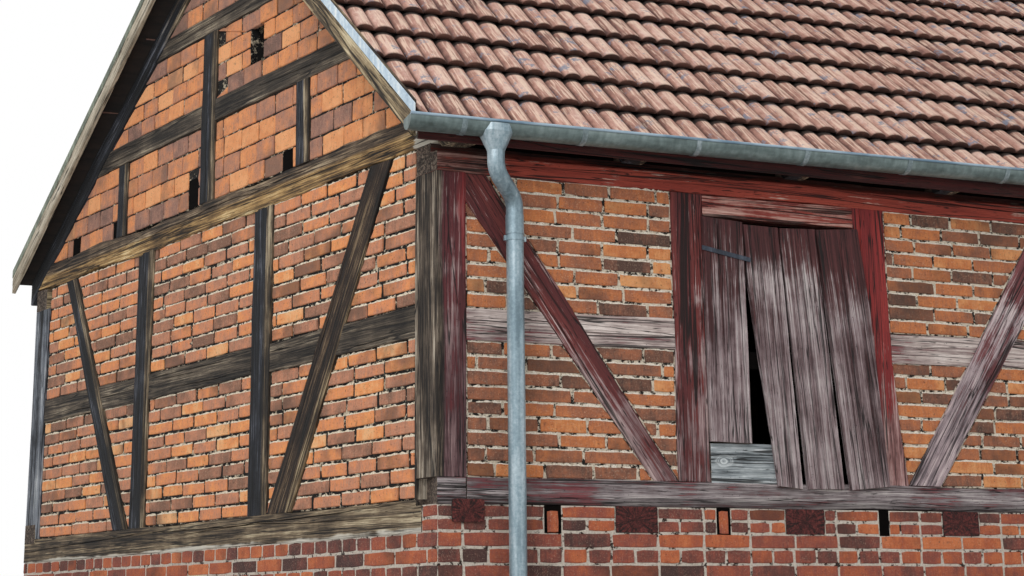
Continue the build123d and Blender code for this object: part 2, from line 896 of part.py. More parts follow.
def verge_strip(inner, outer):
    """Plan of a strip along the skewed verge, between distances out from its line."""
    ends = (-2 * front_eave, house_depth + 2 * rear_eave)
    inside = [(verge_x(depth) + inner / verge_direction.Y, depth) for depth in ends]
    outside = [(verge_x(depth) + outer / verge_direction.Y, depth) for depth in reversed(ends)]
    return (*inside, *outside)


def end_strip(inner, outer):
    """Plan of a strip along the square verge, between distances out from its line."""
    edge = front_length + end_verge_overhang
    return block(edge + inner, -2 * front_eave, edge + outer, house_depth + 2 * rear_eave)


def verge_trim(name, inner, outer, front_points, rear_points):
    """A trim on both verges of both slopes."""
    strips = [verge_strip(inner, outer), end_strip(inner, outer)]
    front_pieces = over_plan(strips, front_points)
    rear_pieces = over_plan(strips, rear_points)
    with BuildPart() as piece:
        add(front_pieces.part)
        add(rear_pieces.part)
    save(piece, name)


# Barge boards on both verges, with zinc flashing over their top edges
outer_radius = gutter_radius + sheet
barge_foot = -(gutter_offset - outer_radius - sheet)
verge_trim(
    "barge_boards",
    -barge_thickness,
    0,
    slope_band(front_slope, barge_foot, ridge_front_face, -barge_below, covering_thickness),
    slope_band(rear_slope, ridge_rear_face, rear_edge, -barge_below, covering_thickness),
)
flashing_low = covering_thickness - flashing_face
flashing_high = covering_thickness + flashing_thickness
verge_trim(
    "verge_flashing",
    0,
    flashing_thickness,
    slope_band(front_slope, -front_eave, ridge_front_face, flashing_low, flashing_high),
    slope_band(rear_slope, ridge_rear_face, rear_edge, flashing_low, flashing_high),
)

# Eaves board on the rafter tails
fascia_face = tail_front - fascia_thickness
eaves_left = verge_x(tail_front) - barge_thickness / verge_direction.Y + fascia_thickness
with BuildPart() as eaves_board:
    with BuildSketch(ground.offset(fascia_bottom)):
        Polygon(*block(eaves_left, fascia_face, covering_right, tail_front), align=None)
    extrude(amount=fascia_top - fascia_bottom)
save(eaves_board, "eaves_board")

# A gutter in soldered lengths that falls from the middle to an outlet near each end
gutter_middle = front_length / 2
gutter_step = (gutter_middle + gutter_end) / gutter_length_count
middle = section.offset(gutter_middle)
gutter_start = Plane(
    origin=Vector(-gutter_end, 0, gutter_rim) - origin,
    x_dir=(0, 1, 0),
    z_dir=(1, 0, gutter_fall),
)


def rim_height(along):
    """Height of the gutter's rim at a place along the left length."""
    return gutter_rim + (along + gutter_end) * gutter_fall


def trough(rim, radius):
    """Half-round outline hung from a rim height, as three points of an arc."""
    return (
        (-gutter_offset - radius, rim),
        (-gutter_offset, rim - radius),
        (-gutter_offset + radius, rim),
    )


def trough_face(rim, radius):
    """A filled half-round on the section plane of the open sketch."""
    with BuildLine(mode=Mode.PRIVATE) as outline:
        arc = ThreePointArc(*trough(rim, radius))
        Line(arc @ 1, arc @ 0)
    return outline.edges()


with BuildPart() as gutter:
    with BuildSketch(gutter_start):
        make_face(trough_face(0, outer_radius))
        make_face(trough_face(0, gutter_radius), mode=Mode.SUBTRACT)
        with Locations(trough(0, outer_radius)[0]):
            Circle(bead_radius)
    extrude(amount=front_length)
    with BuildSketch(gutter_start):
        make_face(trough_face(0, outer_radius))
    extrude(amount=sheet)
    with BuildSketch(ground.offset(rim_height(outlet_along) - 2 * outer_radius)):
        with Locations((outlet_along, -gutter_offset)):
            Circle(pipe_radius - sheet)
    extrude(amount=2 * outer_radius, mode=Mode.SUBTRACT)
    for seam in range(1, gutter_length_count + 1):
        with BuildSketch(ground):
            end = -gutter_end + seam * gutter_step
            Polygon(*block(end - seam_gap, front_reach, end, 0), align=None)
        extrude(amount=ridge_height, mode=Mode.SUBTRACT)
    split(bisect_by=middle, keep=Keep.BOTTOM)
    mirror(about=middle)
save(gutter, "gutter")

# Strap brackets that wrap the gutter and are screwed to the eaves board
bracket_places = [bracket_first + i * bracket_spacing for i in range(bracket_count)]
with BuildPart() as gutter_brackets:
    for place in bracket_places:
        rim = rim_height(place)
        with BuildSketch(section.offset(place - bracket_width / 2)):
            seat_radius = outer_radius + fitting_clearance
            make_face(trough_face(rim, seat_radius + bracket_thickness))
            leg_start = -gutter_offset + outer_radius
            Polygon(*block(leg_start, rim - bracket_leg, fascia_face, rim), align=None)
            with Locations((-gutter_offset, rim)):
                Circle(seat_radius, mode=Mode.SUBTRACT)
            with Locations(trough(rim, outer_radius)[0]):
                Circle(bead_radius + fitting_clearance, mode=Mode.SUBTRACT)
        extrude(amount=bracket_width)
    mirror(about=middle)
save(gutter_brackets, "gutter_brackets")

# Outlet funnel, swan neck and downpipe, as one tube at each end
outlet_rim = rim_height(outlet_along)
outlet_bottom = outlet_rim - outlet_length
neck_top = (outlet_along, -gutter_offset, outlet_bottom)
neck_turn = (outlet_along, -gutter_offset, outlet_bottom - neck_straight)
wall_turn = (pipe_along, -pipe_offset, outlet_bottom - neck_straight - neck_drop)
pipe_end = (pipe_along, -pipe_offset, pipe_foot)


def outlet_sections(inset):
    """Plan sections of the funnel, from its top to the pipe, with an inset for its inside."""
    belly = (outlet_belly_width - 2 * inset, outlet_depth - 2 * inset)
    return (
        (outlet_rim - outlet_top_gap, outlet_top_width - 2 * inset, outlet_depth - 2 * inset),
        (outlet_rim - outlet_belly_gap, *belly),
    )


with BuildPart() as funnel:
    for inset, mode in ((0.0, Mode.ADD), (sheet, Mode.SUBTRACT)):
        sections = outlet_sections(inset)
        for height, width, depth in sections:
            with BuildSketch(ground.offset(height)):
                with Locations((outlet_along, -gutter_offset)):
                    RectangleRounded(width, depth, width * outlet_rounding)
        loft(mode=mode)
        height, width, depth = sections[1]
        with BuildSketch(ground.offset(height)):
            with Locations((outlet_along, -gutter_offset)):
                RectangleRounded(width, depth, width * outlet_rounding)
        with BuildSketch(ground.offset(outlet_bottom)):
            with Locations((outlet_along, -gutter_offset)):
                Circle(pipe_radius - inset)
        loft(mode=mode)
    fall_allowance = outlet_belly_width * gutter_fall / 2 + fitting_clearance
    with BuildSketch(section.offset(outlet_along - outlet_belly_width)):
        with Locations((-gutter_offset, outlet_rim)):
            Circle(outer_radius + fall_allowance)
        with Locations((-gutter_offset - outer_radius, outlet_rim)):
            Circle(bead_radius + fall_allowance)
    extrude(amount=2 * outlet_belly_width, mode=Mode.SUBTRACT)

with BuildPart() as downpipe:
    with BuildLine(ground) as pipe_route:
        FilletPolyline(neck_top, neck_turn, wall_turn, pipe_end, radius=neck_bend)
    with BuildSketch(ground.offset(outlet_bottom)):
        with Locations((outlet_along, -gutter_offset)):
            Circle(pipe_radius)
            Circle(pipe_radius - sheet, mode=Mode.SUBTRACT)
    sweep(path=pipe_route.wires()[0])
    with BuildSketch(ground.offset(collar_top - collar_height)):
        with Locations((pipe_along, -pipe_offset)):
            Circle(pipe_radius + sheet)
            Circle(pipe_radius - sheet / 2, mode=Mode.SUBTRACT)
    extrude(amount=collar_height)

with BuildPart() as downpipes:
    add(funnel.part)
    add(downpipe.part)
    mirror(about=middle)
save(downpipes, "downpipes")

# Clamps that hold the downpipes off the wall
with BuildPart() as pipe_clamps:
    for height in clamp_heights:
        with BuildSketch(ground.offset(height - clamp_height / 2)):
            with Locations((pipe_along, -pipe_offset)):
                inside = pipe_radius + fitting_clearance
                Circle(inside + bracket_thickness)
                Rectangle(2 * (inside + clamp_ear), clamp_ear)
                Circle(inside, mode=Mode.SUBTRACT)
        extrude(amount=clamp_height)
        with BuildSketch(front_wall):
            with Locations((pipe_along, height)):
                Circle(clamp_pin_radius)
        extrude(amount=pipe_offset - pipe_radius - 2 * fitting_clearance)
    mirror(about=middle)
save(pipe_clamps, "pipe_clamps")

# Hatch: leaning planks over the opening, a lintel, ledges behind and a threshold board
save(cut_out(front_wall, hatch_planks_at, plank_thickness, inset=-plank_thickness), "hatch_planks")
lintel_outline = block(hatch_left, plate_bottom - hatch_lintel_height, hatch_post_right, plate_bottom)
door_lintel = block(bearing_left, lintel_bottom, bearing_right, ground_wall_top)
with BuildPart() as lintels:
    with BuildSketch(front_wall):
        Polygon(*lintel_outline, align=None)
    extrude(amount=-hatch_lintel_depth)
    with BuildSketch(front_wall):
        Polygon(*door_lintel, align=None)
    extrude(amount=-ground_wall_thickness)
save(lintels, "lintels")

threshold = block(hatch_left, storey, hatch_left + threshold_length, storey + threshold_height)
save(cut_out(front_wall, [threshold], plank_thickness), "threshold_board")

door_faces = door_setback + plank_thickness
leaf_left = doorway_from + door_clearance
plank_width = (doorway_width - 2 * door_clearance + plank_gap) / door_plank_count - plank_gap
door_planks_at = []
for i in range(door_plank_count):
    left = leaf_left + i * (plank_width + plank_gap)
    door_planks_at.append(block(left, door_clearance, left + plank_width, doorway_height - door_clearance))
save(cut_out(front_wall, door_planks_at, plank_thickness, inset=door_setback), "door_planks")

with BuildPart() as ledges:
    with BuildSketch(front_wall):
        for height in hatch_ledges_at:
            Polygon(*block(hatch_left, height, hatch_post_right, height + ledge_height), align=None)
    extrude(amount=-ledge_thickness)
    with BuildSketch(front_wall.offset(-door_faces)):
        for height in door_ledges_at:
            Polygon(*block(doorway_from, height, door_right, height + ledge_height), align=None)
    extrude(amount=-ledge_thickness)
save(ledges, "ledges")

strap_x, strap_z = hatch_strap_start
strap_end_x, strap_end_z = hatch_strap_end
with BuildPart() as strap_hinges:
    with BuildSketch(front_wall.offset(plank_thickness)):
        Polygon(
            (strap_x, strap_z),
            (strap_end_x, strap_end_z),
            (strap_end_x, strap_end_z - strap_height),
            (strap_x, strap_z - strap_height),
            align=None,
        )
    extrude(amount=strap_thickness)
    with BuildSketch(front_wall.offset(-door_setback)):
        for height in door_ledges_at:
            bottom = height + (ledge_height - strap_height) / 2
            Polygon(
                *block(leaf_left, bottom, leaf_left + door_strap_length, bottom + strap_height), align=None
            )
    extrude(amount=strap_thickness)
save(strap_hinges, "strap_hinges")
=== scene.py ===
import math
import random

import bmesh
import bpy
from mathutils import Matrix, Vector, noise


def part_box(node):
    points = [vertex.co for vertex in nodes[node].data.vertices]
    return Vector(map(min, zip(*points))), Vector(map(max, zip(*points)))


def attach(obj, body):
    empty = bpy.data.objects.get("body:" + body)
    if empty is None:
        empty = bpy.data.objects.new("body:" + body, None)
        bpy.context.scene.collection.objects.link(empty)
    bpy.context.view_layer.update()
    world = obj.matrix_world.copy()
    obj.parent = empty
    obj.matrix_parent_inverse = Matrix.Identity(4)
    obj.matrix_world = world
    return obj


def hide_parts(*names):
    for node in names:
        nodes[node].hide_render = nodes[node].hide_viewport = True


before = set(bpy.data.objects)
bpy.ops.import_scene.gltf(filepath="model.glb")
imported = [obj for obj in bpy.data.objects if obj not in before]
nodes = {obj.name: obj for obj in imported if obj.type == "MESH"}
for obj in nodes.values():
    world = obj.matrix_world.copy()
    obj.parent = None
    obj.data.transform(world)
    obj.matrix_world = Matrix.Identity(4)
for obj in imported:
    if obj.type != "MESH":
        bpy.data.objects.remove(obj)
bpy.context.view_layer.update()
scene = bpy.context.scene
print("stage: frame loaded")

# The house in plan: metres from the front corner, as the frame has it
house = {"cornerAngle": 110, "gableLength": 4.76, "frontLength": 7.652}
skew = math.radians(house["cornerAngle"])
frontCorner = Vector(
    (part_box("wall_plates")[1].x - house["frontLength"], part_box("front_posts")[0].y, 0)
)
alongGable = Vector((math.cos(skew), math.sin(skew), 0))
gableEnd = frontCorner + alongGable * house["gableLength"]


def wallFrame(start, along):
    # columns: along the wall as seen from outside, up, outwards
    along = Vector(along).normalized()
    up = Vector((0, 0, 1))
    out = along.cross(up)
    return Matrix(
        [[along[i], up[i], out[i], start[i]] for i in range(3)] + [[0, 0, 0, 1]]
    )


squareCorner = frontCorner + Vector((house["frontLength"], 0, 0))
rearCorner = Vector((squareCorner.x, gableEnd.y, 0))
walls = {
    "front": wallFrame(frontCorner, (1, 0, 0)),
    "gable": wallFrame(gableEnd, -alongGable),
    "far": wallFrame(squareCorner, (0, 1, 0)),
    "rear": wallFrame(rearCorner, (-1, 0, 0)),
}
gableLength = house["gableLength"]


# ---- camera, where the photo was taken from
view = {
    "place": (-2.308, -7.293, 1.625),
    "yaw": -20.33,
    "pitch": 11.80,
    "roll": -0.57,
    "lens": 55.67,
}
yaw, pitch, roll = (math.radians(view[k]) for k in ("yaw", "pitch", "roll"))
ahead = Vector(
    (-math.sin(yaw) * math.cos(pitch), math.cos(yaw) * math.cos(pitch), math.sin(pitch))
)
level = Vector((math.cos(yaw), math.sin(yaw), 0))
upright = level.cross(ahead)
sideways = level * math.cos(roll) + upright * math.sin(roll)
upwards = upright * math.cos(roll) - level * math.sin(roll)
cameraData = bpy.data.cameras.new("camera")
cameraData.lens = view["lens"]
cameraData.sensor_width = 36
cameraData.clip_end = 200
camera = bpy.data.objects.new("camera", cameraData)
scene.collection.objects.link(camera)
eye = frontCorner + Vector(view["place"])
camera.matrix_world = Matrix(
    [[sideways[i], upwards[i], -ahead[i], eye[i]] for i in range(3)] + [[0, 0, 0, 1]]
)
scene.camera = camera


# ---- one class for sockets and one for trees
class Wire:
    def __init__(self, recipe, socket):
        self.recipe, self.socket = recipe, socket

    def __getitem__(self, name):
        return Wire(self.recipe, self.socket.node.outputs[name])

    def maths(self, operation, *others, clamp=False):
        return self.recipe.add(
            "ShaderNodeMath", {"operation": operation, "use_clamp": clamp},
            dict(enumerate((self, *others))),
        )

    def __add__(self, other):
        return self.maths("ADD", other)

    def __mul__(self, other):
        return self.maths("MULTIPLY", other)

    def __sub__(self, other):
        return self.maths("SUBTRACT", other)

    def __rsub__(self, other):
        return self.recipe.add(
            "ShaderNodeMath", {"operation": "SUBTRACT"}, {0: other, 1: self}
        )

    __radd__, __rmul__ = __add__, __mul__

    def ramp(self, low, high):
        # 0 below low, 1 above high, smooth between
        return self.recipe.add(
            "ShaderNodeMapRange", {"interpolation_type": "SMOOTHSTEP"},
            {"Value": self, "From Min": low, "From Max": high},
        )


class Recipe:
    def __init__(self, tree):
        self.tree = tree

    def add(self, kind, settings=None, sockets=None):
        node = self.tree.nodes.new(kind)
        for name, value in (settings or {}).items():
            if name == "stops":
                stops = node.color_ramp.elements
                while len(stops) < len(value):
                    stops.new(0.5)
                for stop, (place, colour) in zip(stops, value):
                    stop.position = place
                    stop.color = colour
            else:
                setattr(node, name, value)
        for name, value in (sockets or {}).items():
            if isinstance(value, Wire):
                self.tree.links.new(value.socket, node.inputs[name])
            else:
                node.inputs[name].default_value = value
        return Wire(self, node.outputs[0]) if node.outputs else node


def paint(code):
    # a colour written as on a paint chart, in Blender's linear light
    parts = [int(code[i:i + 2], 16) / 255 for i in (0, 2, 4)]
    return (*(p / 12.92 if p < 0.04045 else ((p + 0.055) / 1.055) ** 2.4 for p in parts), 1)


class Finish(Recipe):
    def __init__(self, name):
        self.material = bpy.data.materials.new(name)
        self.material.use_nodes = True
        super().__init__(self.material.node_tree)
        self.shader = self.tree.nodes["Principled BSDF"]

    def object(self):
        return self.add("ShaderNodeTexCoord")["Object"]

    def attribute(self, name, output="Fac"):
        return self.add("ShaderNodeAttribute", {"attribute_name": name})[output]

    def stretch(self, vector, scale):
        return self.add(
            "ShaderNodeVectorMath", {"operation": "MULTIPLY"}, {0: vector, 1: scale}
        )

    def noise(self, vector, scale, detail=3.0, rough=0.55, distort=0.0):
        return self.add(
            "ShaderNodeTexNoise", None,
            {"Vector": vector, "Scale": scale, "Detail": detail, "Roughness": rough,
             "Distortion": distort},
        )

    def chart(self, value, *stops):
        return self.add(
            "ShaderNodeValToRGB", {"stops": [(p, paint(c)) for p, c in stops]}, {0: value}
        )

    def mix(self, share, first, second, blend="MIX"):
        pair = [paint(c) if isinstance(c, str) else c for c in (first, second)]
        return self.add(
            "ShaderNodeMix", {"data_type": "RGBA", "blend_type": blend},
            {0: share, 6: pair[0], 7: pair[1]},
        )[2]

    def done(self, colour, rough, relief=None, depth=0.002, metal=0.0):
        self.tree.links.new(colour.socket, self.shader.inputs["Base Color"])
        if isinstance(rough, Wire):
            self.tree.links.new(rough.socket, self.shader.inputs["Roughness"])
        else:
            self.shader.inputs["Roughness"].default_value = rough
        self.shader.inputs["Metallic"].default_value = metal
        if relief:
            bump = self.add(
                "ShaderNodeBump", None, {"Height": relief, "Strength": 1.0, "Distance": depth}
            )
            self.tree.links.new(bump.socket, self.shader.inputs["Normal"])
        return self.material


# ---- finishes
def brickFinish(name, stops, soot, sootCover, salt, lime="eadcc2", limeShade="b39c80"):
    f = Finish(name)
    place = f.object()
    blotch = f.noise(place, 10, 4, 0.65)
    runs = f.noise(f.stretch(place, (75, 75, 11)), 1, 3, 0.6)
    pits = f.noise(place, 85, 4, 0.75)
    tone = f.attribute("tone") + (blotch - 0.5) * 1.0 + (runs - 0.5) * 0.45
    colour = f.chart(tone, *stops)
    colour = f.mix(f.noise(place, 28, 4, 0.7).ramp(0.58, 0.72) * 0.45, colour, "6b4335")
    colour = f.mix(pits.ramp(0.59, 0.68) * 0.8, colour, "3c221a")
    colour = f.mix(f.noise(place, 150, 3, 0.7).ramp(0.54, 0.70) * salt, colour, "e3c7ab")
    dirt = (f.noise(place, 2.4, 4, 0.6) + f.attribute("grime") * 0.35).ramp(0.72 - sootCover, 0.95)
    colour = f.mix(dirt * 0.7, colour, soot)
    plaster = f.mix(f.noise(place, 110, 4, 0.7).ramp(0.45, 0.66), lime, limeShade)
    colour = f.mix(f.attribute("lime"), colour, plaster)
    return f.done(colour, 0.92, f.noise(place, 70, 5, 0.7) + pits * 1.5, 0.005)


def mortarFinish(name, pale, dark, share):
    f = Finish(name)
    place = f.object()
    grain = f.noise(place, 80, 5, 0.75)
    hollow = f.noise(place, 21, 4, 0.7)
    # near-black patches in the joints: mortar worn out of the joint, with the shade in the hollow painted in as the
    # dark colour
    bare = (hollow + grain * 0.5 - 0.25).ramp(share - 0.03, share + 0.03)
    colour = f.mix(grain.ramp(0.4, 0.7) * 0.5, pale, "8f7c66")
    colour = f.mix(bare, colour, dark)
    return f.done(colour, 0.95, grain - bare * 1.5, 0.012)


def woodFinish(name, dark, middle, light, bright, coat=None, cover=0.0, fade=0.0, contrast=1.0,
               scale=1.0, cracks=0.9, lift=0.0, other=None, split=0.6, soft=0.0, band=None, knot=None):
    # fibres along the "grain" attribute, dark checks and worm holes, and flaking paint where it has a coat.
    # "other" is the chart of the part beyond the split of the timber's width, and "band" a strip of colour along its
    # top or, where its share is negative, its foot: share, colour, where it begins and where it is full, and the wear
    # at which it ends. The strip is red paint on the corner post, lime on the gable sill, a darker foot on the side
    # sill, and on the wall plate a painted shade under the eaves
    f = Finish(name)
    grain = f.attribute("grain", "Vector")
    if knot:
        # rings that push the fibres aside, round a point along the front and up
        parts = f.add("ShaderNodeSeparateXYZ", None, {0: f.object()})
        aside, above = parts["X"] - (frontCorner.x + knot[0]), (parts["Z"] - (frontCorner.z + knot[1])) * 1.5
        reach = (aside * aside + above * above).maths("SQRT") + (f.noise(f.object(), 14, 2) - 0.5) * 0.05
        near = 1 - reach.ramp(knot[2] * 0.15, knot[2])
    broad = f.noise(f.stretch(grain, (0.8, 15 * scale, 15 * scale)), 1, 4, 0.6, 0.5)
    fine = f.noise(f.stretch(grain, (2.6, 75 * scale, 75 * scale)), 1, 5, 0.7, 0.3)
    hair = f.noise(f.stretch(grain, (7, 260 * scale, 260 * scale)), 1, 3, 0.7)
    cloud = f.noise(grain, 3.0, 4, 0.6)
    streak = broad * 0.35 + fine * 0.4 + hair * 0.25
    tone = (streak - 0.5) * (4.2 * contrast) + (cloud - 0.5) * 1.1 + 0.48 + lift
    colour = f.chart(tone, (0.08, dark), (0.40, middle), (0.68, light), (0.95, bright))
    if other:
        beyond = (f.attribute("across") + (broad - 0.5) * 0.5).ramp(split - 0.06, split + 0.06)
        colour = f.mix(beyond, colour, f.chart(tone, *zip((0.08, 0.40, 0.68, 0.95), other)))
    if coat:
        worn = (fine - 0.5) * 1.3 + (hair - 0.5) * 0.8 + (broad - 0.5) * 1.0 + (cloud - 0.5) * 1.2 + 0.5
        if fade:
            worn = worn + (f.attribute("wear") - 0.5) * fade
        if other:
            worn = worn + (1 - beyond) * 0.6
        bare = worn.ramp(cover - 0.05 - soft, cover + 0.10 + soft)
        film = f.mix(broad.ramp(0.4, 0.6), coat[0], coat[1])
        film = f.mix(hair.ramp(0.42, 0.62) * 0.55, film, coat[2])
        colour = f.mix(bare, film, colour)
    check = f.noise(f.stretch(grain, (0.5, 13 * scale, 13 * scale)), 1, 3, 0.55, 0.8)
    slit = 1 - (check - 0.5).maths("ABSOLUTE").ramp(0.003, 0.020)
    dash = f.noise(f.stretch(grain, (9, 95 * scale, 95 * scale)), 1, 2).ramp(0.66, 0.72)
    worm = f.noise(grain, 120, 2, 0.5).ramp(0.70, 0.74)
    hollow = slit.maths("MAXIMUM", dash).maths("MAXIMUM", worm)
    if knot:
        rings = f.noise(f.add("ShaderNodeCombineXYZ", None, {0: reach * 75, 1: 0.0, 2: 0.0}), 1, 3)
        ringed = f.chart(rings + (broad - 0.5) * 0.5, (0.40, middle), (0.5, light), (0.66, bright))
        colour = f.mix(near.ramp(0.1, 0.55), colour, ringed)
        hollow = hollow * (1 - near)
    colour = f.mix(hollow * cracks, colour, "0b0808")
    # a strip of colour along the top or foot; on the wall plate it is painted shade
    if band:
        share, stainOrShade, begin, full, *upper = band
        place = f.attribute("across") if share > 0 else 1 - f.attribute("across")
        place = place + (broad - 0.5) * 0.5 + (cloud - 0.5) * 0.4
        place = place.ramp(begin, full) * abs(share)
        if upper:
            place = place * (1 - f.attribute("wear").ramp(upper[0] - 0.2, upper[0]))
        colour = f.mix(place, colour, stainOrShade)
    return f.done(colour, 0.88, fine * 0.8 + broad * 0.5 + hair * 0.5 - hollow * 1.3, 0.007)


def endFinish(name, dark, middle, light):
    # sawn ends: rings round the pith, and cracks that run out from it
    f = Finish(name)
    pith = f.attribute("pith", "Vector")
    parts = f.add("ShaderNodeSeparateXYZ", None, {0: pith})
    reach = (parts["X"] * parts["X"] + parts["Y"] * parts["Y"]).maths("SQRT")
    angle = parts["Y"].maths("ARCTAN2", parts["X"])
    spoke = f.add("ShaderNodeCombineXYZ", None, {0: angle * 4.0, 1: reach * 5.0, 2: parts["Z"]})
    crack = 1 - (f.noise(spoke, 1.6, 3, 0.6) - 0.5).maths("ABSOLUTE").ramp(0.008, 0.032)
    crumb = f.noise(pith, 55, 4, 0.7)
    ring = f.noise(f.add("ShaderNodeCombineXYZ", None, {0: reach * 160, 1: angle * 0.6, 2: 0.0}), 1, 2)
    colour = f.chart((crumb - 0.5) * 1.2 + (ring - 0.5) * 0.7 + 0.5, (0.2, dark), (0.5, middle), (0.85, light))
    colour = f.mix(crack * 0.9, colour, "0b0808")
    return f.done(colour, 0.92, crumb - crack * 1.5, 0.006)


def plainWood(name, dark, light, gloss=0.5):
    f = Finish(name)
    f.shader.inputs["Specular IOR Level"].default_value = gloss
    place = f.object()
    streak = f.noise(f.stretch(place, (3, 3, 28)), 1, 4, 0.6, 0.5)
    colour = f.mix(streak.ramp(0.3, 0.7), dark, light)
    return f.done(colour, 0.85, streak, 0.004)


def tileFinish(name, stops, nose):
    # paler towards the crowns and darker towards the channels, pale streaks painted as highlights, grey-blue lichen, a
    # dark brown nose as painted shade, and a near-black painted shadow where the next row lies over
    f = Finish(name)
    place = f.object()
    tone = f.attribute("tone")
    crown = f.attribute("crown")
    cloud = f.noise(place, 7, 5, 0.7)
    speck = f.noise(place, 60, 4, 0.75)
    drag = f.noise(f.stretch(place, (55, 9, 9)), 1, 4, 0.7)
    highlightStreak = f.noise(f.stretch(place, (95, 4, 4)), 1, 3, 0.6)
    value = (tone - 0.5) * 0.5 + (cloud - 0.5) * 1.2 + (drag - 0.5) * 0.8 + crown * 0.4 + 0.28
    colour = f.chart(value, *stops)
    # pale streaks along the crowns are painted highlights
    colour = f.mix((highlightStreak + crown * 0.22).ramp(0.66, 0.78) * 0.75, colour, "f0d3bd")
    colour = f.mix((1 - crown).ramp(0.55, 0.98) * 0.6, colour, "4c3833")
    lichen = (f.noise(place, 8, 5, 0.75) + speck * 0.25).ramp(0.70, 0.76)
    colour = f.mix(lichen * 0.8, colour, "7d889b")
    colour = f.mix(speck.ramp(0.62, 0.70) * 0.6, colour, "3d2c2a")
    # the nose is dark brown as painted shade, since it faces down out of the light
    colour = f.mix(f.attribute("edge"), colour, f.mix(cloud.ramp(0.35, 0.65), nose, "3a241e"))
    # near-black painted shadow where the next row lies over the tile
    colour = f.mix(f.attribute("shade"), colour, "0d0908")
    return f.done(colour, 0.9, speck + cloud, 0.004)


def gutterFinish(name):
    # a dull body with darker runs, and a lighter bluish bead along the front rim as a painted highlight, which falls to
    # both ends
    f = Finish(name)
    place = f.object()
    low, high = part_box("gutter")
    parts = f.add("ShaderNodeSeparateXYZ", None, {0: place})
    middle, fall, bead = (low.x + high.x) / 2, 0.0101, 0.017
    under = (high.z + 0.001) - (parts["X"] - middle).maths("ABSOLUTE") * fall - parts["Z"]
    rim = (1 - under.ramp(bead - 0.002, bead)) * (1 - parts["Y"].ramp(low.y + bead, low.y + bead + 0.003))
    cloud = f.noise(f.stretch(place, (3, 14, 14)), 1, 4, 0.6)
    runs = f.noise(f.stretch(place, (30, 30, 2)), 1, 3, 0.6)
    colour = f.chart((cloud - 0.5) * 1.2 + (runs - 0.5) * 0.7 + 0.5,
                     (0.15, "4a5654"), (0.5, "6f7f7e"), (0.85, "94a3a2"))
    # the bead is painted a lighter blue-grey as a highlight
    colour = f.mix(rim, colour, f.mix(cloud.ramp(0.4, 0.6), "6f8ba0", "a3b9c8"))
    return f.done(colour, 0.42, cloud, 0.0006, 0.3)


def zincFinish(name, dark, middle, light, rough, metal=0.35):
    f = Finish(name)
    place = f.object()
    cloud = f.noise(f.stretch(place, (9, 9, 2.2)), 1, 4, 0.6)
    runs = f.noise(f.stretch(place, (45, 45, 1.6)), 1, 3, 0.6)
    specks = f.noise(place, 60, 4, 0.7)
    tone = (cloud - 0.5) * 1.4 + (runs - 0.5) * 0.9 + (specks - 0.5) * 0.8 + 0.5
    colour = f.chart(tone, (0.15, dark), (0.5, middle), (0.85, light))
    return f.done(colour, (cloud * 0.3 + rough), specks, 0.0008, metal)


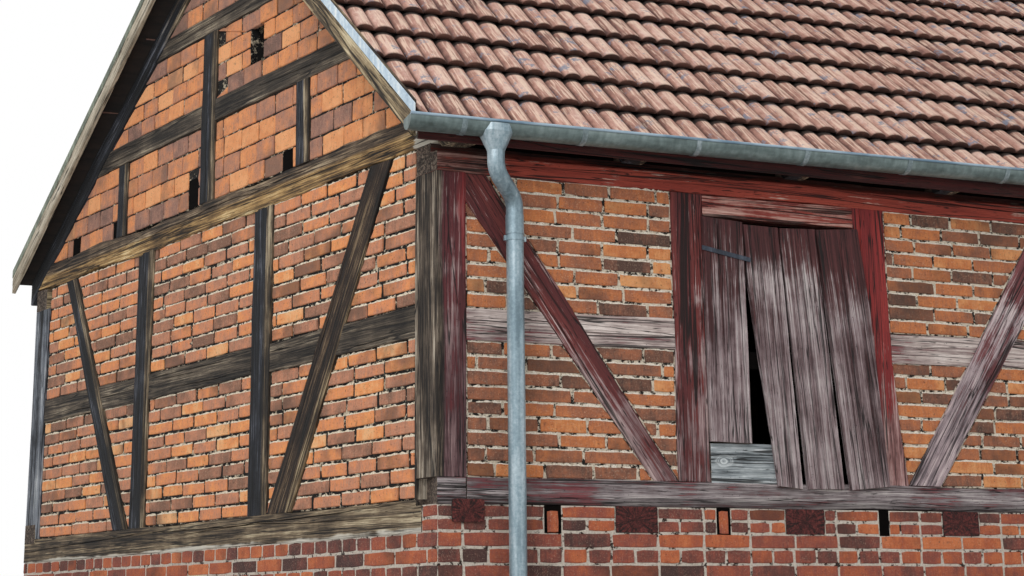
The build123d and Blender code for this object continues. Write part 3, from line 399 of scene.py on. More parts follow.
finishes = {
    "gableBrick": brickFinish(
        "gable_brick",
        [(0.0, "8b6552"), (0.2, "b07c63"), (0.4, "d08f70"), (0.6, "ea9767"), (0.8, "fba463"), (1.0, "ffc189")],
        "5b4a40", 0.0, 0.5, "f7ecd6", "bfa889"),
    "roofBrick": brickFinish(
        "gable_top_brick",
        [(0.0, "7d5f55"), (0.25, "a97d6c"), (0.48, "cd8d6c"), (0.7, "ee9b63"), (1.0, "fdb47c")],
        "7b6154", 0.0, 0.4, "d9b698", "9d7a62"),
    "frontBrick": brickFinish(
        "front_brick",
        [(0.0, "5a4138"), (0.2, "865a48"), (0.45, "b06d4d"), (0.7, "d27f4b"), (1.0, "eba66c")],
        "4d3c34", 0.02, 0.4, "f4ebdc", "c9b9a2"),
    "lowerBrick": brickFinish(
        "ground_brick",
        [(0.0, "4f3431"), (0.22, "77443c"), (0.45, "9c5242"), (0.7, "bb633f"), (1.0, "d97f4f")],
        "3f2f2b", 0.02, 0.35),
    "gableMortar": mortarFinish("gable_mortar", "e0d1b6", "080605", 0.43),
    "frontMortar": mortarFinish("front_mortar", "ecdfca", "1b1511", 0.54),
    "lowerMortar": mortarFinish("ground_mortar", "e2d8cb", "33261f", 0.60),
    # the brown-grey strip at the right of each post is partly weathered wood and partly a painted lit side
    "blackPost": woodFinish("black_post", "040507", "0e1015", "2a2d36", "737680", contrast=1.0, scale=1.4,
                            other=("0b0806", "32291f", "76654f", "c4b396"), split=0.70),
    "brownPost": woodFinish("brown_post", "090605", "291d17", "65503f", "b8946a", contrast=1.0),
    "darkBrace": woodFinish("dark_brace", "060403", "1a110c", "3f2e22", "8d775c", contrast=1.0, scale=1.4,
                            other=("120c08", "4a3a29", "8f7a5c", "d3c19c"), split=0.82),
    "tieWood": woodFinish(
        "tie_wood", "20160e", "7d6240", "c09a63", "f0d9a8",
        ("cfc8ba", "efebe1", "a89f8f"), 0.5, fade=3.0, contrast=1.0, scale=1.2,
        other=("120e0b", "4c3e32", "84705a", "c2ae90"), split=0.56),
    "railWood": woodFinish("rail_wood", "100d0b", "3f372f", "6c6052", "b3a58e", contrast=0.95, scale=1.5, lift=-0.03),
    "cornerPost": woodFinish(
        "corner_post", "120e0b", "3d332b", "7d6f60", "c7bba9",
        ("55262a", "6b3034", "2d1416"), 0.46, fade=0.7, scale=1.3,
        other=("1f1013", "5c4043", "8e7272", "bba6a2"), split=0.40, band=(0.8, "8a2f30", 0.82, 0.94, 0.55)),
    "greyBeam": woodFinish("grey_beam", "15110d", "5b4e3e", "a08c6c", "d9c9a6", contrast=1.05, lift=0.06),
    "paleBoard": woodFinish("pale_board", "4b4439", "a89c88", "d0c4b0", "ece2d1", contrast=0.8),
    # the dark band along the plate's top is painted shade, where the gutter and soffit shade it
    "redPlate": woodFinish(
        "red_plate", "1a0f10", "7a4a42", "b08a80", "dcc2b2",
        ("9c3e31", "b44e3d", "6c2820"), 0.76, fade=0.35,
        band=(0.85, "150b09", 0.62, 0.92)),
    # the board under the gutter: its dark red paint is darkened nearly to black as painted shade
    "eavesWood": woodFinish(
        "eaves_wood", "080505", "1c0f0e", "3d1f1c", "6b3a33",
        ("401717", "571f1d", "200c0c"), 0.60, contrast=0.9),
    "sillWood": woodFinish(
        "sill_wood", "191315", "6a5f60", "a39899", "d6cdc9",
        ("7a3d42", "935457", "552b2f"), 0.34, scale=1.3,
        band=(-0.55, "150b09", 0.62, 0.92)),
    "footSill": woodFinish(
        "foot_sill", "14100c", "4f4336", "8a7860", "cbbb9c", contrast=1.0, scale=1.2,
        band=(-0.9, "ddd8cb", 0.90, 0.98)),
    "greyPost": woodFinish("grey_post", "15171a", "585d66", "8f959e", "cfd2d4", contrast=1.0, scale=1.2),
    "mossZinc": zincFinish("moss_zinc", "3f463d", "67705f", "98a08f", 0.35),
    "lintelWood": woodFinish(
        "lintel_wood", "2d1515", "9a655c", "cb998d", "e9cbbd",
        ("8c3a34", "a84c40", "5e2723"), 0.46, contrast=0.9),
    "brightPost": woodFinish(
        "bright_post", "1b0d0e", "8a5f5c", "c09c98", "e2cec8",
        ("852a2b", "a83a36", "4d1a1c"), 0.66, fade=1.4),
    "redPost": woodFinish(
        "red_post", "150c0e", "6b4f50", "9f8484", "cbb4b0",
        ("5f2a2b", "7c3936", "341a1c"), 0.62, fade=0.65),
    "greyBrace": woodFinish(
        "grey_brace", "19171b", "7d6f73", "b9a5a8", "e0d0ce",
        ("6e3b3e", "8a5052", "45292c"), 0.48, fade=0.9, contrast=0.95, lift=0.06),
    "greyRail": woodFinish(
        "grey_rail", "1c1618", "897876", "c2b0aa", "ecdfd8",
        ("84464a", "9c5d5c", "5b3033"), 0.30, lift=0.08, scale=1.2),
    "hatchWood": woodFinish(
        "hatch_wood", "1c1416", "7d6769", "b0a0a1", "ddd2d0",
        ("4a2526", "643536", "291516"), 0.60, fade=0.95, scale=2.2, contrast=0.85, lift=0.03, soft=0.14),
    "silverBoard": woodFinish("silver_board", "1f2426", "7c8488", "b2b9bc", "e6ebeb", contrast=0.95, knot=(1.549, 2.408, 0.08)),
    "redEnd": endFinish("red_end_grain", "1c0d0c", "562220", "7f403a"),
    "greyEnd": endFinish("grey_end_grain", "1c1613", "5e4e44", "a39584"),
    "inner": plainWood("inner_wood", "1c140f", "48362a"),
    "darkInner": plainWood("shaded_wood", "0f0b0a", "251b16"),
    # near-black painted shade, for the holes where bricks have fallen out, the ledges seen through the hatch and the
    # masonry faces above the eaves height
    "pit": plainWood("painted_shade_pit", "050404", "0c0908", 0.05),
    "tile": tileFinish(
        "fired_tile",
        [(0.0, "60423d"), (0.25, "8d655a"), (0.5, "b18475"), (0.72, "c99d8e"), (1.0, "e6c6b6")], "5f3d33"),
    "gutterZinc": gutterFinish("gutter_zinc"),
    "bracketZinc": zincFinish("bracket_zinc", "5c696a", "7f8e92", "a9b6ba", 0.30),
    "pipeZinc": zincFinish("pipe_zinc", "6a7e88", "8ea3ad", "bccbd2", 0.28),
    "flashingZinc": zincFinish("flashing_zinc", "9db3c6", "c1d3e0", "eef3f2", 0.25),
    "iron": zincFinish("black_iron", "1f232b", "39404c", "59606c", 0.45),
}
print("stage: finishes made")


# ---- pieces
def place(name, mesh, finish, slot, *replaced, end=None):
    # a finished mesh becomes a piece of the one body
    if isinstance(mesh, bmesh.types.BMesh):
        made = bpy.data.meshes.new(name)
        mesh.to_mesh(made)
        mesh.free()
        mesh = made
    piece = bpy.data.objects.new(name, mesh)
    scene.collection.objects.link(piece)
    if finish:
        for name in (finish, end) if end else (finish,):
            mesh.materials.append(finishes[name])
    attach(piece, "root")
    if replaced:
        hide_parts(*replaced)
    return piece


def nodeMesh(name, wall=None):
    # a merged copy of a CAD node, in the wall's own frame where one is named
    mesh = bmesh.new()
    mesh.from_mesh(nodes[name].data)
    bmesh.ops.remove_doubles(mesh, verts=mesh.verts, dist=0.0002)
    if wall:
        mesh.transform(walls[wall].inverted())
    mesh.normal_update()
    bmesh.ops.dissolve_limit(mesh, angle_limit=0.01, verts=mesh.verts, edges=mesh.edges)
    return mesh


def islands(mesh):
    # each solid of a node as a mesh of its own
    mesh.verts.ensure_lookup_table()
    seen, found = set(), []
    for seed in mesh.verts:
        if seed.index in seen:
            continue
        group, queue = [], [seed]
        seen.add(seed.index)
        while queue:
            vert = queue.pop()
            group.append(vert)
            for edge in vert.link_edges:
                other = edge.other_vert(vert)
                if other.index not in seen:
                    seen.add(other.index)
                    queue.append(other)
        island = bmesh.new()
        copies = {v.index: island.verts.new(v.co) for v in group}
        for face in {f for v in group for f in v.link_faces}:
            island.faces.new([copies[v.index] for v in face.verts])
        island.normal_update()
        found.append(island)
    mesh.free()
    return found


# ---- brickwork
brickShape = {
    "variants": 8, "round": 0.004, "crooked": 0.0026, "hold": 0.026, "seed": 5,
    "lipSteps": 11, "lipLow": 0.002, "lipHigh": 0.013, "lipBack": 0.004,
}


def brickVariants(name, lips):
    # unit bricks: x and y run 0 to 1 over the face, z is depth, and "round" is an offset in metres
    rng = random.Random(brickShape["seed"])
    shapes = bpy.data.collections.new(name)
    rim = [(0, 0), (0.3, 0), (0.68, 0), (1, 0), (1, 0.5), (1, 1), (0.7, 1), (0.32, 1), (0, 1), (0, 0.5)]
    for n in range(brickShape["variants"]):
        points, offsets, faces, lime = [], [], [], []
        rings = []
        for inset, depth in ((brickShape["round"], 0.0), (0.0, -brickShape["round"]), (0.0, -brickShape["hold"])):
            ring = []
            for i, (u, v) in enumerate(rim):
                way = Vector((0.5 - u, 0.5 - v))
                corner = u in (0, 1) and v in (0, 1)
                if not rings:
                    crooked = brickShape["crooked"] * (2.2 if corner else 1.0)
                    jolt = (rng.uniform(0, crooked), rng.uniform(0, crooked), rng.uniform(-0.0015, 0.001))
                    jolts = jolts + [jolt] if i else [jolt]
                jx, jy, jz = jolts[i]
                signX = 0 if abs(way.x) < 0.4 else math.copysign(1, way.x)
                signY = 0 if abs(way.y) < 0.4 else math.copysign(1, way.y)
                ring.append(len(points))
                points.append((u, v, depth + (jz if depth > -0.01 else 0)))
                offsets.append((signX * (inset + jx), signY * (inset + jy), 0))
            rings.append(ring)
        points.append((0.5, 0.5, rng.uniform(-0.001, 0.0012)))
        offsets.append((rng.uniform(-0.02, 0.02), rng.uniform(-0.01, 0.01), 0))
        middle = len(points) - 1
        count = len(rim)
        for i in range(count):
            j = (i + 1) % count
            faces.append((middle, rings[0][i], rings[0][j]))
            for outer, inner in ((1, 0), (2, 1)):
                faces.append((rings[inner][i], rings[outer][i], rings[outer][j], rings[inner][j]))
        faces.append(tuple(reversed(rings[2])))
        lime = [0.0] * len(points)
        if lips:
            # a ragged strip of mortar on the brick's top edge
            steps = brickShape["lipSteps"]
            first = len(points)
            for i in range(steps + 1):
                u = min(1, max(0, (i + rng.uniform(-0.3, 0.3)) / steps))
                rise = rng.uniform(brickShape["lipLow"], brickShape["lipHigh"]) * (0.15 if rng.random() < 0.38 else 1)
                front = -rng.uniform(0.0, brickShape["lipBack"])
                points += [(u, 1, front), (u, 1, front - 0.001), (u, 1, -brickShape["hold"])]
                offsets += [(0, -0.005, 0), (0, rise, 0), (0, rise, 0)]
                lime += [1.0] * 3
            for i in range(steps):
                a, b = first + 3 * i, first + 3 * (i + 1)
                faces += [(a, b, b + 1, a + 1), (a + 1, b + 1, b + 2, a + 2), (a + 2, b + 2, b, a)]
            last = first + 3 * steps
            faces += [(first, first + 1, first + 2), (last + 2, last + 1, last)]
        mesh = bpy.data.meshes.new("brick_shape")
        mesh.from_pydata(points, [], faces)
        store = mesh.attributes.new("round", "FLOAT_VECTOR", "POINT")
        store.data.foreach_set("vector", [c for o in offsets for c in o])
        store = mesh.attributes.new("lime", "FLOAT", "POINT")
        store.data.foreach_set("value", lime)
        shapes.objects.link(bpy.data.objects.new(f"{name}_{n}", mesh))
    return shapes


def bricklayerTree():
    # each point carries its own brick's four corners, and becomes one shaped brick
    tree = bpy.data.node_groups.new("bricklayer", "GeometryNodeTree")
    for name, kind in (("Bricks", "Geometry"), ("Shapes", "Collection"), ("Variants", "Int"),
                       ("Rough", "Float"), ("Seed", "Int"), ("Finish", "Material")):
        tree.interface.new_socket(name=name, in_out="INPUT", socket_type=f"NodeSocket{kind}")
    tree.interface.new_socket(name="Geometry", in_out="OUTPUT", socket_type="NodeSocketGeometry")
    r = Recipe(tree)
    given = r.add("NodeGroupInput")

    def named(name, kind="FLOAT"):
        return r.add("GeometryNodeInputNamedAttribute", {"data_type": kind}, {"Name": name})

    shapes = r.add("GeometryNodeCollectionInfo", None,
                   {"Collection": given["Shapes"], "Separate Children": True, "Reset Children": True})
    pick = r.add("FunctionNodeRandomValue", {"data_type": "INT"},
                 {"Min": 0, "Max": given["Variants"] - 1, "Seed": given["Seed"]})
    chosen = Wire(r, [s for s in pick.socket.node.outputs if s.enabled][0])
    laid = r.add("GeometryNodeInstanceOnPoints", None,
                 {"Points": given["Bricks"], "Instance": shapes, "Pick Instance": True,
                  "Instance Index": chosen})
    solid = r.add("GeometryNodeRealizeInstances", None, {"Geometry": laid})
    where = r.add("GeometryNodeInputPosition")
    split = r.add("ShaderNodeSeparateXYZ", None, {0: where})
    u, v, depth = split["X"], split["Y"], split["Z"]
    shift = r.add("ShaderNodeSeparateXYZ", None, {0: named("round", "FLOAT_VECTOR")})

    def blend(low, high, share):
        return low + (high - low) * share

    across = blend(
        blend(named("lowerLeft"), named("lowerRight"), u),
        blend(named("upperLeft"), named("upperRight"), u), v,
    ) + shift["X"]
    height = blend(named("bottom"), named("top"), v) + shift["Y"]
    proud = named("proud") + depth + (u - 0.5) * named("tilt")
    spot = r.add("ShaderNodeCombineXYZ", None, {0: across, 1: height, 2: proud})
    wave = r.add("ShaderNodeTexNoise", None, {"Vector": spot, "Scale": 38.0, "Detail": 2.0})["Color"]
    wave = r.add("ShaderNodeVectorMath", {"operation": "SUBTRACT"}, {0: wave, 1: (0.5, 0.5, 0.5)})
    wave = r.add("ShaderNodeVectorMath", {"operation": "SCALE"}, {0: wave, "Scale": given["Rough"]})
    spot = r.add("ShaderNodeVectorMath", {"operation": "ADD"}, {0: spot, 1: wave})
    moved = r.add("GeometryNodeSetPosition", None, {"Geometry": solid, "Position": spot})
    coloured = r.add("GeometryNodeSetMaterial", None, {"Geometry": moved, "Material": given["Finish"]})
    last = tree.nodes.new("NodeGroupOutput")
    tree.links.new(coloured.socket, last.inputs[0])
    return tree


def grow(name, tree, points, values):
    # runs a Geometry Nodes tree on a mesh of points and gives back a plain mesh
    holder = bpy.data.objects.new(name, points)
    scene.collection.objects.link(holder)
    modifier = holder.modifiers.new("grow", "NODES")
    modifier.node_group = tree
    for item in tree.interface.items_tree:
        if item.item_type == "SOCKET" and item.in_out == "INPUT" and item.name in values:
            modifier[item.identifier] = values[item.name]
    graph = bpy.context.evaluated_depsgraph_get()
    mesh = bpy.data.meshes.new_from_object(holder.evaluated_get(graph))
    bpy.data.objects.remove(holder)
    return mesh


def facing(wall, names, proud):
    # the triangles that look out at this height, flat in the wall's frame
    found = []
    into = walls[wall].inverted()
    for name in names:
        mesh = bmesh.new()
        mesh.from_mesh(nodes[name].data)
        mesh.transform(into)
        mesh.normal_update()
        for face in mesh.faces:
            if face.normal.z > 0.999 and abs(face.calc_center_median().z - proud) < 0.001:
                found.append([v.co.xy for v in face.verts])
        mesh.free()
    return found


def spans(shapes, height):
    # what the shapes cover along the wall at a height, with touching stretches joined
    stretches = []
    for shape in shapes:
        places = [
            a.x + (b.x - a.x) * (height - a.y) / (b.y - a.y)
            for a, b in zip(shape, shape[1:] + shape[:1]) if (a.y <= height) != (b.y <= height)
        ]
        if len(places) > 1:
            stretches.append((min(places), max(places)))
    joined = []
    for low, high in sorted(stretches):
        if joined and low - joined[-1][1] < 0.002:
            joined[-1][1] = max(high, joined[-1][1])
        else:
            joined.append([low, high])
    return joined


def matching(found, low, high):
    best = max(found, key=lambda s: min(s[1], high) - max(s[0], low), default=None)
    if best and min(best[1], high) - max(best[0], low) > 0:
        return best
    return [(low + high) / 2] * 2


def without(found, holes):
    # stretches with the holes cut out of them
    for start, stop in holes:
        kept = []
        for low, high in found:
            kept += [(low, min(high, start)), (max(low, stop), high)]
        found = [(low, high) for low, high in kept if high - low > 0.001]
    return found


def courses(shown, bands, work, rng, skipped=()):
    # rows of bricks over the faces shown. Each band has a bottom, a top and a row count
    rows = []
    for bottom, top, count in bands:
        rise = (top - bottom) / count
        rows += [(bottom + i * rise, bottom + (i + 1) * rise, i) for i in range(count)]
    bricks = []
    for low, high, row in rows:
        bed = work["joint"] / 2
        z0, z1 = low + bed, high - bed
        holes = [(x0, x1) for x0, y0, x1, y1 in skipped if y0 < (z0 + z1) / 2 < y1]
        middle, below, above = (without(spans(shown, z), holes) for z in ((z0 + z1) / 2, z0, z1))
        headers = work["headers"] is not None and row % 2 == work["headers"]
        length = work["header"] if headers else work["stretcher"]
        pitch = length + work["joint"]
        for left, right in middle:
            foot, head = matching(below, left, right), matching(above, left, right)
            start = -pitch * ((row % 2) * 0.5 + work["drift"] * rng.random())
            cuts = [left]
            step = left - (left % pitch if work["aligned"] else 0) + start
            while step < right:
                if step > left + 0.05 and step < right - 0.045:
                    cuts.append(step + rng.uniform(-1, 1) * work["jitter"])
                step += pitch
            cuts.append(right)
            for i, (a, b) in enumerate(zip(cuts, cuts[1:])):
                gap = work["joint"] / 2
                la = foot[0] + gap if i == 0 else a + gap
                ua = head[0] + gap if i == 0 else a + gap
                lb = foot[1] - gap if i == len(cuts) - 2 else b - gap
                ub = head[1] - gap if i == len(cuts) - 2 else b - gap
                if max(lb - la, ub - ua) < 0.02:
                    continue
                if lb < la:
                    la = lb = (la + lb) / 2
                if ub < ua:
                    ua = ub = (ua + ub) / 2
                sag = noise.noise(Vector((a * 1.1, row * 0.4, work["drift"]))) * work["uneven"] * 2
                wobble = [sag + rng.uniform(-1, 1) * work["uneven"] for _ in range(2)]
                bricks.append((
                    la, lb, ua, ub, z0 + wobble[0], z1 + wobble[1],
                    work["proud"] + rng.uniform(-1, 0.2) * work["recess"],
                    rng.uniform(-1, 1) * work["tilt"],
                    min(1, max(0, rng.gauss(work["tone"], work["spread"]))), rng.random(),
                ))
    return bricks


brickFields = ("lowerLeft", "lowerRight", "upperLeft", "upperRight", "bottom", "top", "proud", "tilt",
               "tone", "grime")
limedShapes = brickVariants("limed_brick", True)
plainShapes = brickVariants("plain_brick", False)
bricklayer = bricklayerTree()


def layBricks(name, wall, bricks, finish, rough, seed, shapes=plainShapes):
    points = bpy.data.meshes.new(name)
    points.from_pydata([(0, 0, 0)] * len(bricks), [], [])
    for i, field in enumerate(brickFields):
        store = points.attributes.new(field, "FLOAT", "POINT")
        store.data.foreach_set("value", [b[i] for b in bricks])
    mesh = grow(name, bricklayer, points, {
        "Shapes": shapes, "Variants": brickShape["variants"], "Rough": rough, "Seed": seed,
        "Finish": finishes[finish],
    })
    mesh.transform(walls[wall])
    for field in brickFields[:8] + ("round",):
        if field in mesh.attributes:
            mesh.attributes.remove(mesh.attributes[field])
    return mesh


pocketLook = {"over": 0.0015, "thick": 0.004}


def pocket(name, wall, rims, bed):
    # where a brick has fallen out: a shaded patch just over the bed of the joints
    patch = bmesh.new()
    for left, low, right, high in rims:
        grid = bmesh.ops.create_cube(patch, size=1.0)
        for vert in grid["verts"]:
            vert.co = (
                (left + right) / 2 + vert.co.x * (right - left), (low + high) / 2 + vert.co.y * (high - low),
                bed + pocketLook["over"] - pocketLook["thick"] / 2 + vert.co.z * pocketLook["thick"])
    patch.transform(walls[wall])
    return place(name, patch, "pit", "brick_masonry")


def mortarBed(name, node, faces, depth, finish, eaves=None):
    # the CAD node with its outer faces set back to the bed of the joints
    mesh = bmesh.new()
    mesh.from_mesh(nodes[node].data)
    bmesh.ops.remove_doubles(mesh, verts=mesh.verts, dist=0.0002)
    for vert in mesh.verts:
        outs = []
        for wall, proud in faces:
            local = walls[wall].inverted() @ vert.co
            if abs(local.z - proud) < 0.001:
                outs.append(walls[wall].col[2].xyz)
        if len(outs) == 1:
            vert.co -= outs[0] * depth
        elif len(outs) == 2:
            vert.co -= (outs[0] + outs[1]) * depth / (1 + outs[0].dot(outs[1]))
    # faces above the eaves height take the second, near-black finish as painted shade
    for face in mesh.faces:
        face.material_index = 1 if eaves and face.calc_center_median().z > eaves else 0
    return place(name, mesh, finish, "brick_masonry", node, end="pit" if eaves else None)


infillRecess = -0.006
stretcherWork = {
    "joint": 0.0105, "stretcher": 0.25, "header": 0.12, "headers": None, "aligned": False,
    "drift": 0.5, "jitter": 0.012, "uneven": 0.0022, "proud": infillRecess, "recess": 0.004,
    "tilt": 0.003, "tone": 0.5, "spread": 0.24,
}
storeyBands = [(2.30, 2.978, 9), (3.139, 3.83, 9)]
gableBands = [(2.20, 3.005, 10), (3.166, 3.98, 10)]
gableTopBands = [(4.15, 4.65, 4), (4.79, 5.25, 4), (5.37, 6.1, 6)]
brickJobs = {
    "front": {"node": "front_infill", "work": {}, "bands": storeyBands, "finish": "frontBrick",
              "mortar": "frontMortar", "rough": 0.004, "bed": 0.007},
    "gable": {"node": "gable_infill", "work": {"joint": 0.014, "uneven": 0.003, "recess": 0.007},
              "bands": gableBands, "finish": "gableBrick", "mortar": "gableMortar", "rough": 0.006, "bed": 0.010},
    "far": {"node": "far_end_infill", "work": {}, "bands": gableBands, "finish": "frontBrick",
            "mortar": "gableMortar", "rough": 0.004, "bed": 0.010},
    "rear": {"node": "rear_infill", "work": {}, "bands": storeyBands, "finish": "frontBrick",
             "mortar": "frontMortar", "rough": 0.004, "bed": 0.007},
}
# bricks that are missing at the feet of the small studs, along the gable and up
fallen = [(gableLength - s1, low, gableLength - s0, high) for s0, low, s1, high in (
    (1.36, 4.152, 1.47, 4.272), (2.45, 4.152, 2.57, 4.34), (3.50, 4.152, 3.60, 4.272), (4.10, 4.152, 4.22, 4.272),
    (0.74, 3.17, 0.82, 3.25))]
for number, (wall, job) in enumerate(brickJobs.items()):
    rng = random.Random(20 + number)
    shown = facing(wall, [job["node"]], infillRecess)
    work = {**stretcherWork, **job["work"]}
    bricks = courses(shown, job["bands"], work, rng)
    mesh = layBricks(f"{wall}_bricks", wall, bricks, job["finish"], job["rough"], number, limedShapes)
    place(f"{wall}_bricks", mesh, None, "brick_masonry")
    if wall in ("gable", "far"):
        # bricks laid on edge above the tie beam, with thin joints
        topWork = {**work, "joint": 0.006, "stretcher": 0.19, "uneven": 0.0012, "tone": 0.58}
        bricks = courses(shown, gableTopBands, topWork, rng, fallen if wall == "gable" else ())
        mesh = layBricks(f"{wall}_top_bricks", wall, bricks, "roofBrick", 0.003, number + 10)
        place(f"{wall}_top_bricks", mesh, None, "brick_masonry")
    mortarBed(f"{wall}_mortar", job["node"], [(wall, infillRecess)], job["bed"], job["mortar"])
    if wall == "gable":
        pocket("gable_pockets", wall, fallen, infillRecess - job["bed"])
    print("stage: bricks in the", wall, "wall")

# The ground floor, in rows of stretchers and headers by turns
groundWork = {**stretcherWork, "headers": 1, "aligned": True, "drift": 0.0, "proud": 0.0,
              "jitter": 0.006, "recess": 0.003, "tilt": 0.0015, "uneven": 0.0012, "joint": 0.0095,
              "tone": 0.45, "spread": 0.23}
groundNodes = {
    "front": ["ground_wall_front", "beam_filling"],
    "gable": ["ground_wall_front", "ground_wall_ends", "ground_wall_rear", "beam_filling"],
    "far": ["ground_wall_front", "ground_wall_ends", "ground_wall_rear", "beam_filling"],
    "rear": ["ground_wall_rear", "beam_filling"],
}
rowHeight, rowCount, joistZone = 0.0775, 26, (2.04, 2.17)
# along the wall and up: two pockets that each hold a brick on end, and an empty one
pockets = [(0.553, 2.034, 0.642, 2.17), (1.499, 2.034, 1.577, 2.17), (2.465, 2.036, 2.525, 2.17)]
standing = [(0.566, 2.037, 0.627, 2.145), (1.511, 2.038, 1.564, 2.156)]
for number, (wall, names) in enumerate(groundNodes.items()):
    rng = random.Random(40 + number)
    shown = facing(wall, names, 0.0)
    longWall = wall in ("front", "rear")
    bands = [(joistZone[0] - rowCount * rowHeight, joistZone[0], rowCount), (*joistZone, 2)]
    work = {**groundWork, "headers": 0 if longWall else 1}
    bricks = courses(shown, bands, work, rng, pockets if wall == "front" else ())
    if wall == "front":
        bricks += [(left, right, left, right, low, high, 0.002, 0.0005, 0.6, 0.4)
                   for left, low, right, high in standing]
    mesh = layBricks(f"{wall}_ground_bricks", wall, bricks, "lowerBrick", 0.003, number + 20)
    place(f"{wall}_ground_bricks", mesh, None, "brick_masonry")
everyWall = [(wall, 0.0) for wall in walls]
for node in ("ground_wall_front", "ground_wall_rear", "ground_wall_ends", "beam_filling"):
    mortarBed(f"{node}_mortar", node, everyWall, 0.006, "lowerMortar",
              eaves=3.9 if node == "beam_filling" else None)
pocket("front_pockets", "front", pockets, -0.006)
print("stage: ground floor bricks")


# ---- timbers
def hewn(island, look, rng):
    # gives a plain CAD solid the wavy edges, checks and worn arrises of an old timber
    outer = max(v.co.z for v in island.verts)
    rimEdges = [e for e in island.edges if all(abs(v.co.z - outer) < 0.0005 for v in e.verts)]
    if not rimEdges:
        return island
    longest = max(rimEdges, key=lambda e: e.calc_length())
    lie = (longest.verts[1].co - longest.verts[0].co).normalized()
    side = Vector((-lie.y, lie.x, 0))
    bmesh.ops.bevel(island, geom=rimEdges, offset=look["wane"] * rng.uniform(0.7, 1.3), segments=2,
                    profile=0.6, affect="EDGES", clamp_overlap=True)
    outwards = Vector((0, 0, 1))

    def cut(point, normal, frontOnly=False):
        faces = [f for f in island.faces if f.normal.z > (0.5 if frontOnly else -0.9)]
        geometry = set(faces) | {e for f in faces for e in f.edges} | {v for f in faces for v in f.verts}
        return bmesh.ops.bisect_plane(island, geom=list(geometry), dist=1e-5, plane_co=point,
                                      plane_no=normal)["geom_cut"]

    reach = [v.co.dot(lie) for v in island.verts]
    width = [v.co.dot(side) for v in island.verts]
    low, high, near, far = min(reach), max(reach), min(width), max(width)
    centre = Vector((0, 0, outer))
    count = max(2, int((high - low) / look["step"]))
    for i in range(1, count):
        cut(lie * (low + (high - low) * (i + rng.uniform(-0.2, 0.2)) / count) + centre, lie)
    lanes = max(1, int((far - near) / look["lane"]))
    for i in range(1, lanes):
        cut(side * (near + (far - near) * i / lanes) + centre, side, True)
    # deep checks that follow the timber
    slits = []
    for _ in range(rng.choice(look["checks"])):
        across = rng.uniform(near + 0.025, far - 0.025)
        lean = rng.uniform(-0.03, 0.03)
        normal = (side + lie * lean).normalized()
        begin = rng.uniform(low - 0.2 * (high - low), high - 0.3 * (high - low))
        end = begin + rng.uniform(0.3, 0.8) * (high - low)
        point = side * across + lie * (begin + end) / 2
        for offset in (-look["slit"], look["slit"]):
            cut(point + side * offset, normal, True)
        cut(point, normal, True)
        slits.append((point, normal, begin, end))
    seed = Vector((rng.uniform(0, 90), rng.uniform(0, 90), rng.uniform(0, 90)))
    for vert in island.verts:
        spot = vert.co.copy()
        s, c, d = spot.dot(lie), spot.dot(side), outer - spot.z
        if d > 0.06:
            continue
        slow = noise.noise(Vector((s * 1.7, 0, 0)) + seed) * look["wobble"]
        edge = noise.noise(Vector((s * 7, round(c / max(0.01, far - near)) * 3.0, 5)) + seed) * look["wobble"] * 0.45
        vert.co += side * (slow + edge)
        if d < 0.004:
            groove = noise.noise(Vector((s * 1.3, c * 38, 0)) + seed)
            dip = max(0.0, groove) * look["groove"]
            for point, normal, begin, end in slits:
                if begin < s < end and abs((spot - point).dot(normal)) < 0.0006:
                    share = math.sin(math.pi * (s - begin) / (end - begin))
                    dip += look["slitDepth"] * share
            vert.co.z -= dip
    grain = island.verts.layers.float_vector.new("grain")
    pith = island.verts.layers.float_vector.new("pith")
    wear = island.verts.layers.float.new("wear")
    across = island.verts.layers.float.new("across")
    shift = seed * 3
    heart = Vector(((near + far) / 2 + rng.uniform(-0.02, 0.02), outer - rng.uniform(0.04, 0.1)))
    for vert in island.verts:
        vert[grain] = Vector((vert.co.dot(lie), vert.co.dot(side), vert.co.z)) + shift
        vert[pith] = (vert.co.dot(side) - heart.x, vert.co.z - heart.y, seed.x)
        vert[wear] = look["wear"](vert.co) if callable(look["wear"]) else look["wear"]
        share = (vert.co.dot(side) - near) / max(0.01, far - near)
        vert[across] = 1 - share if side.x < -0.5 else share
    for face in island.faces:
        face.material_index = 1 if abs(face.normal.dot(lie)) > 0.8 else 0
    return island


timberLook = {
    "step": 0.07, "lane": 0.018, "wane": 0.007, "wobble": 0.010, "groove": 0.004,
    "checks": (1, 1, 2, 2, 3), "slit": 0.0025, "slitDepth": 0.018, "wear": 0.5,
}
coarseLook = {**timberLook, "step": 0.16, "lane": 0.05, "checks": (0, 1), "slit": 0.003}


def join(parts):
    whole = bmesh.new()
    for part in parts:
        mesh = bpy.data.meshes.new("part")
        part.to_mesh(mesh)
        part.free()
        whole.from_mesh(mesh)
        bpy.data.meshes.remove(mesh)
    return whole


def timbers(node, wall, finish, look, slot):
    # finish is a name, or a function that gives one for a solid's middle
    rng = random.Random(node)
    made = {}
    for island in islands(nodeMesh(node, wall)):
        middle = sum((v.co for v in island.verts), Vector()) / len(island.verts)
        made.setdefault(finish(middle) if callable(finish) else finish, []).append(hewn(island, look, rng))
    end = "redEnd" if slot == "painted_timber" else "greyEnd"
    for i, (chosen, parts) in enumerate(made.items()):
        whole = join(parts)
        whole.transform(walls[wall])
        place(f"{node}_hewn_{i}", whole, chosen, slot, *([node] if i == 0 else []), end=end)


def paintWear(co):
    # more paint is left under the eaves than lower down
    return min(1, max(0, (3.95 - co.y) / 1.6))


def hatchWear(co):
    # the planks are bare from their top fifth downwards
    return min(1, max(0, (3.78 - co.y) / 0.75))


